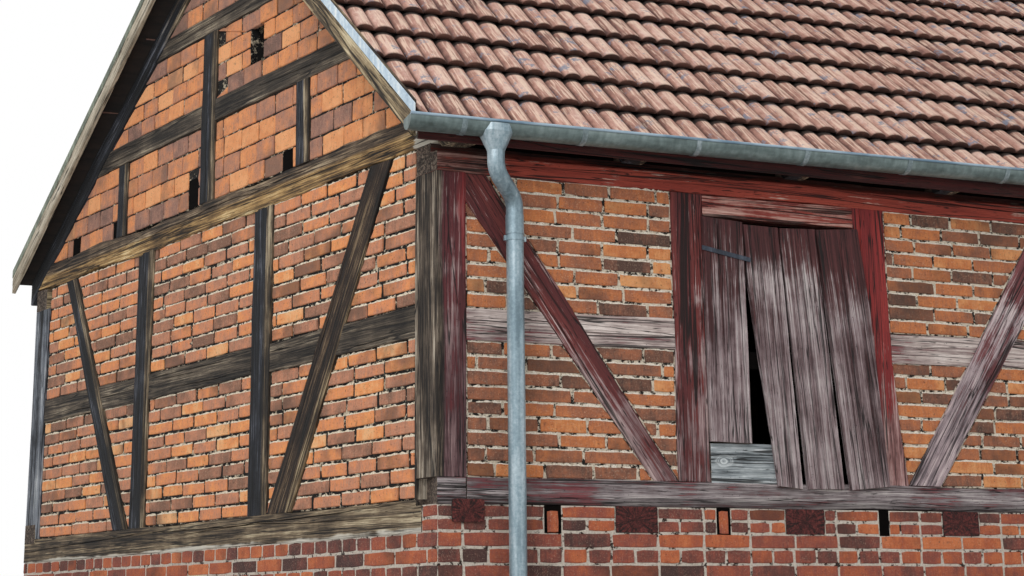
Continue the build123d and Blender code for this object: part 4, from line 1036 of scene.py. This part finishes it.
def braceFinish(middle):
    return "blackPost" if middle.x < 2 else "darkBrace"


def postFinish(middle):
    # the posts beside the hatch differ: the right one keeps more of its red
    return "brightPost" if 2.4 < middle.x < 2.7 else "redPost"


def paleBrace(middle):
    # the brace right of the hatch has lost most of its paint
    return "greyBrace" if 2.7 < middle.x < 3.8 else "redPost"


timberJobs = [
    ("gable_posts", "gable", "blackPost", {}, "grey_timber"),
    ("gable_braces", "gable", braceFinish, {}, "grey_timber"),
    ("gable_rails", "gable", "railWood", {}, "grey_timber"),
    ("front_posts", "front", postFinish, {"wear": paintWear}, "painted_timber"),
    ("front_braces", "front", paleBrace, {"wear": paintWear}, "painted_timber"),
    ("front_rails", "front", "greyRail", {"wear": paintWear}, "painted_timber"),
    ("hatch_planks", "front", "hatchWood",
     {"wear": hatchWear, "wane": 0.003, "wobble": 0.006, "lane": 0.014, "checks": (1, 2, 3)}, "hatch_boards"),
    ("threshold_board", "front", "silverBoard", {"wane": 0.003, "lane": 0.014}, "hatch_boards"),
    ("lintels", "front", "lintelWood", {"wear": 0.5, "wane": 0.004}, "painted_timber"),
]
for node, wall, finish, change, slot in timberJobs:
    timbers(node, wall, finish, {**timberLook, **change}, slot)
for node, wall in (("far_end_posts", "far"), ("far_end_braces", "far"), ("far_end_rails", "far"),
                   ("rear_posts", "rear"), ("rear_braces", "rear"), ("rear_rails", "rear")):
    timbers(node, wall, "brownPost" if "rail" not in node else "greyBeam", coarseLook, "grey_timber")
timbers("door_planks", "front", "hatchWood", {**coarseLook, "wane": 0.003, "lane": 0.03}, "hatch_boards")
print("stage: timbers")


def twoSided(node, sides, slot, keep=()):
    # a node whose solids belong to different walls, each finished as its own wall is
    rng = random.Random(node)
    made = {}
    for island in islands(nodeMesh(node)):
        middle = sum((v.co for v in island.verts), Vector()) / len(island.verts)
        wall = min(sides, key=lambda w: abs((walls[w].inverted() @ middle).z))
        island.transform(walls[wall].inverted())
        island.normal_update()
        finish, look = sides[wall]
        part = hewn(island, look, rng)
        part.transform(walls[wall])
        made.setdefault(finish, []).append(part)
    for i, (finish, parts) in enumerate(made.items()):
        place(f"{node}_{i}", join(parts), finish, slot, *([node] if i == 0 else []), end="greyEnd")


def plateWear(co):
    # the plate's end at the corner has lost its paint
    return 0.4 + 1.7 * min(1, max(0, (0.42 - co.x) / 0.16))


weathered = {**timberLook, "wear": paintWear}
twoSided("wall_plates", {"front": ("redPlate", {**timberLook, "wear": plateWear}), "rear": ("greyBeam", coarseLook)}, "painted_timber")
twoSided("side_sills", {"front": ("sillWood", weathered), "rear": ("greyBeam", coarseLook)}, "painted_timber")
twoSided("end_sills", {"gable": ("footSill", timberLook), "far": ("greyBeam", coarseLook)}, "grey_timber")
def tieWear(co):
    # the end at the front corner has bleached white
    return min(1, max(0, (gableLength - 0.12 - co.x) / 0.22))


twoSided("tie_beams", {"gable": ("tieWood", {**timberLook, "wobble": 0.03, "wear": tieWear}),
                       "far": ("greyBeam", coarseLook)}, "grey_timber")

def hewnAround(island, look, rng):
    # the same wear for a timber that shows more than one side
    longest = max(island.edges, key=lambda e: e.calc_length())
    lie = (longest.verts[1].co - longest.verts[0].co).normalized()
    broad = max((f for f in island.faces if abs(f.normal.dot(lie)) < 0.1), key=lambda f: f.calc_area())
    first = (broad.normal - lie * broad.normal.dot(lie)).normalized()
    second = lie.cross(first)
    arrises = [e for e in island.edges
               if abs((e.verts[1].co - e.verts[0].co).normalized().dot(lie)) > 0.98]
    bmesh.ops.bevel(island, geom=arrises, offset=look["wane"], segments=2, profile=0.6, affect="EDGES",
                    clamp_overlap=True)
    reach = [v.co.dot(lie) for v in island.verts]
    low, high = min(reach), max(reach)
    count = max(2, int((high - low) / look["step"]))
    for i in range(1, count):
        point = lie * (low + (high - low) * (i + rng.uniform(-0.2, 0.2)) / count)
        bmesh.ops.bisect_plane(island, geom=island.verts[:] + island.edges[:] + island.faces[:], dist=1e-5,
                               plane_co=point, plane_no=lie)
    for side, other in ((first, second), (second, first)):
        width = [v.co.dot(side) for v in island.verts]
        lanes = int((max(width) - min(width)) / look["lane"])
        for i in range(1, lanes):
            faces = [f for f in island.faces if abs(f.normal.dot(other)) > 0.8]
            geometry = set(faces) | {e for f in faces for e in f.edges} | {v for f in faces for v in f.verts}
            point = side * (min(width) + (max(width) - min(width)) * i / lanes)
            bmesh.ops.bisect_plane(island, geom=list(geometry), dist=1e-5, plane_co=point, plane_no=side)
    island.normal_update()
    seed = Vector((rng.uniform(0, 90), rng.uniform(0, 90), rng.uniform(0, 90)))
    moves = []
    for vert in island.verts:
        s, a, b = (vert.co.dot(axis) for axis in (lie, first, second))
        dip = max(0.0, noise.noise(Vector((s * 1.3, a * 38, b * 38)) + seed)) * look["groove"] * 1.4
        sway = noise.noise(Vector((s * 1.7, 0, 0)) + seed) * look["wobble"] * 0.4
        moves.append(vert.normal * -dip + first * sway)
    grain = island.verts.layers.float_vector.new("grain")
    pith = island.verts.layers.float_vector.new("pith")
    wear = island.verts.layers.float.new("wear")
    across = island.verts.layers.float.new("across")
    middle = sum((v.co for v in island.verts), Vector()) / len(island.verts)
    left, right = min(v.co.x for v in island.verts), max(v.co.x for v in island.verts)
    for vert, move in zip(island.verts, moves):
        vert[grain] = Vector([vert.co.dot(axis) for axis in (lie, first, second)]) + seed * 3
        vert[pith] = (*((vert.co - middle).dot(axis) for axis in (first, second)), seed.x)
        vert[wear] = min(1, max(0, (3.95 - vert.co.z) / 1.6))
        vert[across] = (vert.co.x - left) / (right - left)
        vert.co += move
    for face in island.faces:
        face.material_index = 1 if abs(face.normal.dot(lie)) > 0.8 else 0
    return island


def around(node, finish, look, slot, end="greyEnd", extra=()):
    rng = random.Random(node)
    made = {}
    for island in [*islands(nodeMesh(node)), *extra]:
        middle = sum((v.co for v in island.verts), Vector()) / len(island.verts)
        made.setdefault(finish(middle) if callable(finish) else finish, []).append(hewnAround(island, look, rng))
    for i, (chosen, parts) in enumerate(made.items()):
        place(f"{node}_hewn_{i}", join(parts), chosen, slot, *([node] if i == 0 else []), end=end)


def block(low, high):
    # a plain block between two corners, in metres from the front corner
    made = bmesh.new()
    bmesh.ops.create_cube(made, size=1.0)
    for vert in made.verts:
        vert.co = frontCorner + Vector([(a + b) / 2 + c * (b - a) for a, b, c in zip(low, high, vert.co)])
    made.normal_update()
    return made


def cornerFinish(middle):
    front, left = middle.y < frontCorner.y + 1, middle.x < 0
    return "cornerPost" if front and left else "greyPost" if left else "brownPost"


def flashingFinish(middle):
    return "mossZinc" if middle.y > frontCorner.y + 1.92 else "flashingZinc"


def bargeFinish(middle):
    # the board on the long slope has bleached more
    return "paleBoard" if middle.y > frontCorner.y + 1.92 and middle.x < 0 else "greyBeam"


around("corner_posts", cornerFinish, timberLook, "painted_timber")
flashings = {}
for island in islands(nodeMesh("verge_flashing")):
    middle = sum((v.co for v in island.verts), Vector()) / len(island.verts)
    flashings.setdefault(flashingFinish(middle), []).append(island)
for chosen, parts in flashings.items():
    place(f"verge_{chosen}", join(parts), chosen, "zinc", *(["verge_flashing"] if chosen == "flashingZinc" else []))
# the rotten end of the corner joist stands a little proud of the wall
cornerJoist = block((0.074, -0.009, 2.085), (0.238, 0.24, 2.196))
around("floor_joists", "darkInner", {**coarseLook, "groove": 0.002, "wane": 0.012}, "inner_timber", end="redEnd",
       extra=[cornerJoist])
around("barge_boards", bargeFinish, {**timberLook, "wane": 0.003, "wobble": 0.004}, "grey_timber")
around("rafters", "blackPost", {**coarseLook, "lane": 0.09}, "inner_timber")
around("eaves_board", "eavesWood", {**coarseLook, "wane": 0.003, "wobble": 0.004}, "painted_timber")
print("stage: corner posts and roof edge boards")

# ---- roof tiles: one shape with two rolls, laid in rows by Geometry Nodes
tileShape = {
    "cover": 0.22, "row": 0.305, "roll": 0.026, "thick": 0.010, "lap": 0.055, "lift": 0.038,
    "low": 0.0195, "valley": 0.100, "steps": 7, "gap": 0.004, "shadow": 0.034,
}


def tileMesh():
    # two rounded rolls side by side, with a thick lower edge
    wide, long = tileShape["cover"] - tileShape["gap"], tileShape["row"] + tileShape["lap"]
    mesh = bmesh.new()
    edgeShade = mesh.verts.layers.float.new("edge")
    crownShade = mesh.verts.layers.float.new("crown")
    darkShade = mesh.verts.layers.float.new("shade")
    profile = []
    for left, right in ((0.0, tileShape["valley"]), (tileShape["valley"], wide)):
        for i in range(tileShape["steps"] + (right == wide)):
            share = i / tileShape["steps"]
            crown = max(0.0, math.sin(math.pi * share)) ** 0.55
            profile.append((left + (right - left) * share, tileShape["roll"] * crown, crown))
    # from the underside of the lower end round its closed nose and up the slope to the next row's shadow. Each station
    # gives its height, its "edge" share, which colours the nose dark brown as painted shade, and its "shade" share, the
    # near-black painted shadow under the next row
    row, shadow = tileShape["row"], tileShape["shadow"]
    stations = [(0.016, None, 0.6, 1), (0.001, None, 1, 0.2), (0.0, -0.004, 1, 0), (0.005, 0.0, 0.35, 0),
                (0.02, 0.0, 0, 0), (row - shadow, 0.0, 0, 0), (row - shadow * 0.6, 0.0, 0.3, 0.9),
                (row + 0.02, 0.0, 0, 1), (long, 0.0, 0, 1)]
    rows = []
    for y, dz, edge, shade in stations:
        tilt = tileShape["lift"] * (1 - y / row)
        line = []
        for x, z, crown in profile:
            height = tilt - tileShape["thick"] if dz is None else z + dz + tilt
            vert = mesh.verts.new((x, y, height))
            vert[edgeShade] = edge
            vert[crownShade] = crown
            vert[darkShade] = shade
            line.append(vert)
        rows.append(line)
    for lower, upper in zip(rows, rows[1:]):
        for i in range(len(profile) - 1):
            mesh.faces.new((lower[i], lower[i + 1], upper[i + 1], upper[i]))
    # the underside closes the tile
    drop = tileShape["lift"] * (1 - long / row) - tileShape["thick"]
    under = [mesh.verts.new((x, long, drop)) for x, z, crown in profile]
    for i in range(len(profile) - 1):
        mesh.faces.new((rows[-1][i], rows[-1][i + 1], under[i + 1], under[i]))
        mesh.faces.new((under[i], under[i + 1], rows[0][i + 1], rows[0][i]))
    for side in (0, -1):
        mesh.faces.new([line[side] for line in rows] + [under[side]])
    bmesh.ops.recalc_face_normals(mesh, faces=mesh.faces)
    for face in mesh.faces:
        face.smooth = abs(face.normal.x) < 0.98
    made = bpy.data.meshes.new("tile_shape")
    mesh.to_mesh(made)
    mesh.free()
    return bpy.data.objects.new("tile_shape", made)


def tilerTree():
    tree = bpy.data.node_groups.new("tiler", "GeometryNodeTree")
    for name, kind in (("Start", "Geometry"), ("Tile", "Object"), ("Columns", "Int"), ("Rows", "Int"),
                       ("Cover", "Float"), ("Row", "Float"), ("Loose", "Float"), ("Seed", "Int"),
                       ("Finish", "Material")):
        tree.interface.new_socket(name=name, in_out="INPUT", socket_type=f"NodeSocket{kind}")
    tree.interface.new_socket(name="Geometry", in_out="OUTPUT", socket_type="NodeSocketGeometry")
    r = Recipe(tree)
    given = r.add("NodeGroupInput")
    column, row = given["Columns"], given["Rows"]
    grid = r.add("GeometryNodeMeshGrid", None, {
        "Size X": given["Cover"] * (column - 1), "Size Y": given["Row"] * (row - 1),
        "Vertices X": column, "Vertices Y": row,
    })
    points = r.add("GeometryNodeMeshToPoints", None, {"Mesh": grid})
    where = r.add("GeometryNodeInputPosition")
    corner = r.add("ShaderNodeCombineXYZ", None, {
        0: given["Cover"] * (column - 1) * 0.5, 1: given["Row"] * (row - 1) * 0.5, 2: 0.0})
    where = r.add("ShaderNodeVectorMath", {"operation": "ADD"}, {0: where, 1: corner})

    def chance(kind, low, high, salt):
        node = r.add("FunctionNodeRandomValue", {"data_type": kind},
                     {"Min": low, "Max": high, "Seed": given["Seed"] + salt})
        return Wire(r, [s for s in node.socket.node.outputs if s.enabled][0])

    slip = r.add("ShaderNodeVectorMath", {"operation": "SCALE"},
                 {0: chance("FLOAT_VECTOR", (-0.4, -1, 0), (0.4, 1, 0.6), 1), "Scale": given["Loose"]})
    where = r.add("ShaderNodeVectorMath", {"operation": "ADD"}, {0: where, 1: slip})
    points = r.add("GeometryNodeSetPosition", None, {"Geometry": points, "Position": where})
    points = r.add("GeometryNodeStoreNamedAttribute", {"data_type": "FLOAT", "domain": "POINT"},
                   {"Geometry": points, "Name": "tone", "Value": chance("FLOAT", 0.0, 1.0, 2)})
    turn = chance("FLOAT_VECTOR", (-0.012, -0.012, -0.006), (0.012, 0.012, 0.006), 3)
    tile = r.add("GeometryNodeObjectInfo", None, {"Object": given["Tile"]})["Geometry"]
    laid = r.add("GeometryNodeInstanceOnPoints", None,
                 {"Points": points, "Instance": tile, "Rotation": turn})
    solid = r.add("GeometryNodeRealizeInstances", None, {"Geometry": laid})
    coloured = r.add("GeometryNodeSetMaterial", None, {"Geometry": solid, "Material": given["Finish"]})
    last = tree.nodes.new("NodeGroupOutput")
    tree.links.new(coloured.socket, last.inputs[0])
    return tree


roof = {
    "plateTop": 3.98, "pitch": math.radians(46.5), "ridgeDepth": 1.92, "rafter": 0.14, "covering": 0.077,
    "frontEave": 0.185, "rearEave": 0.13, "farEdge": 7.652 + 0.2 - 0.025, "barge": 0.025,
    "vergeFront": 0.22, "vergeRear": 0.12, "boards": 0.008,
}
houseDepth = gableEnd.y - frontCorner.y
ridgeHeight = roof["plateTop"] + roof["rafter"] / math.cos(roof["pitch"]) + roof["ridgeDepth"] * math.tan(roof["pitch"])
rearDrop, rearRun = ridgeHeight - roof["plateTop"], houseDepth - roof["ridgeDepth"]
rearPitch = math.acos(roof["rafter"] / math.hypot(rearDrop, rearRun)) - math.atan2(rearRun, rearDrop)
gableOut = walls["gable"].col[2].xyz
vergeA = frontCorner + gableOut * roof["vergeFront"]
vergeB = gableEnd + gableOut * roof["vergeRear"]
vergeAlong = (vergeA - vergeB).normalized()
vergeOut = Vector((vergeAlong.y, -vergeAlong.x, 0))
tiler = tilerTree()
tileObject = tileMesh()


def tileSlope(name, node, depth, height, along, slope, columns, rows, seed):
    # along and slope are unit vectors on the slope, from its lower left corner
    points = bpy.data.meshes.new(name)
    points.from_pydata([(0, 0, 0)], [], [])
    mesh = grow(name, tiler, points, {
        "Tile": tileObject, "Columns": columns, "Rows": rows, "Cover": tileShape["cover"],
        "Row": tileShape["row"], "Loose": 0.004, "Seed": seed, "Finish": finishes["tile"]})
    out = along.cross(slope)
    start = Vector((depth.x, depth.y, height))
    mesh.transform(Matrix([[along[i], slope[i], out[i], start[i]] for i in range(3)] + [[0, 0, 0, 1]]))
    whole = bmesh.new()
    whole.from_mesh(mesh)
    ridge = frontCorner + Vector((0, roof["ridgeDepth"], 0))
    away = Vector((0, -1 if along.x > 0 else 1, 0))
    planes = [(vergeA - vergeOut * roof["barge"], vergeOut),
              (frontCorner + Vector((roof["farEdge"], 0, 0)), Vector((1, 0, 0))),
              (ridge, -away)]
    for point, normal in planes:
        cut = bmesh.ops.bisect_plane(whole, geom=whole.verts[:] + whole.edges[:] + whole.faces[:],
                                     dist=1e-5, plane_co=point, plane_no=normal, clear_outer=True)
        rim = [e for e in cut["geom_cut"] if isinstance(e, bmesh.types.BMEdge)]
        bmesh.ops.holes_fill(whole, edges=rim, sides=0)
    return place(name, whole, "tile", "roof_tiles", node)


underTile = tileShape["low"]
frontSlope = Vector((0, math.cos(roof["pitch"]), math.sin(roof["pitch"])))
frontAlong = Vector((1, 0, 0))
eaveDepth = -roof["frontEave"]
eaveHeight = ridgeHeight + (eaveDepth - roof["ridgeDepth"]) * math.tan(roof["pitch"])
frontOut = frontAlong.cross(frontSlope)
start = frontCorner + Vector((-1.2, eaveDepth, 0)) + frontOut * underTile
slopeLength = (roof["ridgeDepth"] + roof["frontEave"]) / math.cos(roof["pitch"])
tileSlope("front_tiles", "roof_front", start, eaveHeight + frontOut.z * underTile, frontAlong, frontSlope,
          42, math.ceil(slopeLength / tileShape["row"]), 3)
rearSlope = Vector((0, -math.cos(rearPitch), math.sin(rearPitch)))
rearAlong = Vector((-1, 0, 0))
rearOut = rearAlong.cross(rearSlope)
rearHeight = ridgeHeight - (houseDepth + roof["rearEave"] - roof["ridgeDepth"]) * math.tan(rearPitch)
start = frontCorner + Vector((house["frontLength"] + 0.25, houseDepth + roof["rearEave"], 0)) + rearOut * underTile
slopeLength = (houseDepth + roof["rearEave"] - roof["ridgeDepth"]) / math.cos(rearPitch)
tileSlope("rear_tiles", "roof_rear", start, rearHeight + rearOut.z * underTile, rearAlong, rearSlope,
          47, math.ceil(slopeLength / tileShape["row"]), 4)
print("stage: roof tiles")


def underlay(name, node):
    # boards under the tiles: the CAD slope pressed down to a thin layer on the rafters
    mesh = bmesh.new()
    mesh.from_mesh(nodes[node].data)
    bmesh.ops.remove_doubles(mesh, verts=mesh.verts, dist=0.0002)
    out = frontOut if node == "roof_front" else rearOut
    ridgeLine = frontCorner + Vector((0, roof["ridgeDepth"], ridgeHeight))
    for vert in mesh.verts:
        height = (vert.co - ridgeLine).dot(out)
        if height > roof["boards"]:
            vert.co -= out * (height - roof["boards"])
    place(name, mesh, "darkInner", "inner_timber", node)


underlay("front_underlay", "roof_front")
underlay("rear_underlay", "roof_rear")

# ---- ridge tiles: tapered half rounds that lap one another
ridgeShape = {"long": 0.36, "lap": 0.05, "wide": 0.118, "narrow": 0.106, "thick": 0.016, "steps": 10, "sweep": 78}


def ridgeTiles(name, node):
    low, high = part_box(node)
    centre = Vector(((low.x + high.x) / 2, (low.y + high.y) / 2, high.z - ridgeShape["wide"] - 0.004))
    count = math.ceil((high.x - low.x) / ridgeShape["long"])
    long = (high.x - low.x) / count
    mesh = bmesh.new()
    tone = mesh.verts.layers.float.new("tone")
    crown = mesh.verts.layers.float.new("crown")
    edge = mesh.verts.layers.float.new("edge")
    rng = random.Random(node)
    for n in range(count):
        shade = rng.random()
        rings = []
        start = low.x + n * long
        # the first 12 mm of each tile, its lapped end, carries the edge mark that the tile finish darkens as painted
        # shade
        for x, radius, rim in ((start, ridgeShape["wide"], 1), (start + 0.012, ridgeShape["wide"], 0),
                               (min(high.x, start + long + ridgeShape["lap"]), ridgeShape["narrow"], 0)):
            outer, inner = [], []
            for i in range(ridgeShape["steps"] + 1):
                angle = math.radians(ridgeShape["sweep"]) * (2 * i / ridgeShape["steps"] - 1)
                for line, reach in ((outer, radius), (inner, radius - ridgeShape["thick"])):
                    vert = mesh.verts.new(
                        (x, centre.y + reach * math.sin(angle), centre.z + reach * math.cos(angle)))
                    vert[tone], vert[crown], vert[edge] = shade, math.cos(angle), rim
                    line.append(vert)
            rings.append(outer + inner[::-1])
        size = len(rings[0])
        for first, second in zip(rings, rings[1:]):
            for i in range(size):
                j = (i + 1) % size
                mesh.faces.new((first[i], first[j], second[j], second[i]))
        for ring in (rings[0], rings[-1]):
            half = size // 2
            for i in range(half - 1):
                mesh.faces.new((ring[i], ring[i + 1], ring[size - 2 - i], ring[size - 1 - i]))
    bmesh.ops.recalc_face_normals(mesh, faces=mesh.faces)
    return place(name, mesh, "tile", "roof_tiles", node)


ridgeTiles("ridge_tiles", "ridge_cap")
print("stage: ridge")

# ---- CAD nodes that keep their shape
kept = {
    "gutter": "gutterZinc", "gutter_brackets": "bracketZinc", "downpipes": "pipeZinc",
    "pipe_clamps": "pipeZinc", "strap_hinges": "iron",
    # the ledges behind the hatch are near-black as painted shade in its gap
    "ledges": "pit",
}
for name, piece in nodes.items():
    if not piece.hide_render:
        piece.data.materials.clear()
        piece.data.materials.append(finishes[kept.get(name, "inner")])

# ---- floor, light and background
floorMesh = bpy.data.meshes.new("floor")
side = 30
floorMesh.from_pydata([(-side, -side, 0), (side, -side, 0), (side, side, 0), (-side, side, 0)], [], [(0, 1, 2, 3)])
floor = bpy.data.objects.new("floor", floorMesh)
scene.collection.objects.link(floor)
ground = Finish("pale_floor")
ground.done(ground.mix(0.5, "d6d6d4", "d6d6d4"), 0.9)
floorMesh.materials.append(ground.material)

light = {"world": 0.68, "key": 480, "keyPlace": (-9, -9, 9), "keySize": 7, "fill": 160, "fillPlace": (9, 8, 8)}
world = bpy.data.worlds.new("world")
scene.world = world
world.use_nodes = True
sky = Recipe(world.node_tree)
background = world.node_tree.nodes["Background"]
rays = sky.add("ShaderNodeLightPath")
seen = rays["Is Camera Ray"].maths("MAXIMUM", rays["Is Glossy Ray"]).maths("MAXIMUM", rays["Is Transmission Ray"])
strength = seen * (1 - light["world"]) + light["world"]
world.node_tree.links.new(strength.socket, background.inputs["Strength"])
background.inputs["Color"].default_value = (1, 1, 1, 1)
for name in ("key", "fill"):
    lamp = bpy.data.lights.new(name, "AREA")
    lamp.energy = light[name]
    lamp.size = light["keySize"]
    lampObject = bpy.data.objects.new(name, lamp)
    scene.collection.objects.link(lampObject)
    where = Vector(light[f"{name}Place"])
    lampObject.location = where
    lampObject.rotation_euler = (Vector((0, 0, 2.5)) - where).to_track_quat("-Z", "Y").to_euler()
scene.view_settings.view_transform = "Standard"
print("stage: light and floor")
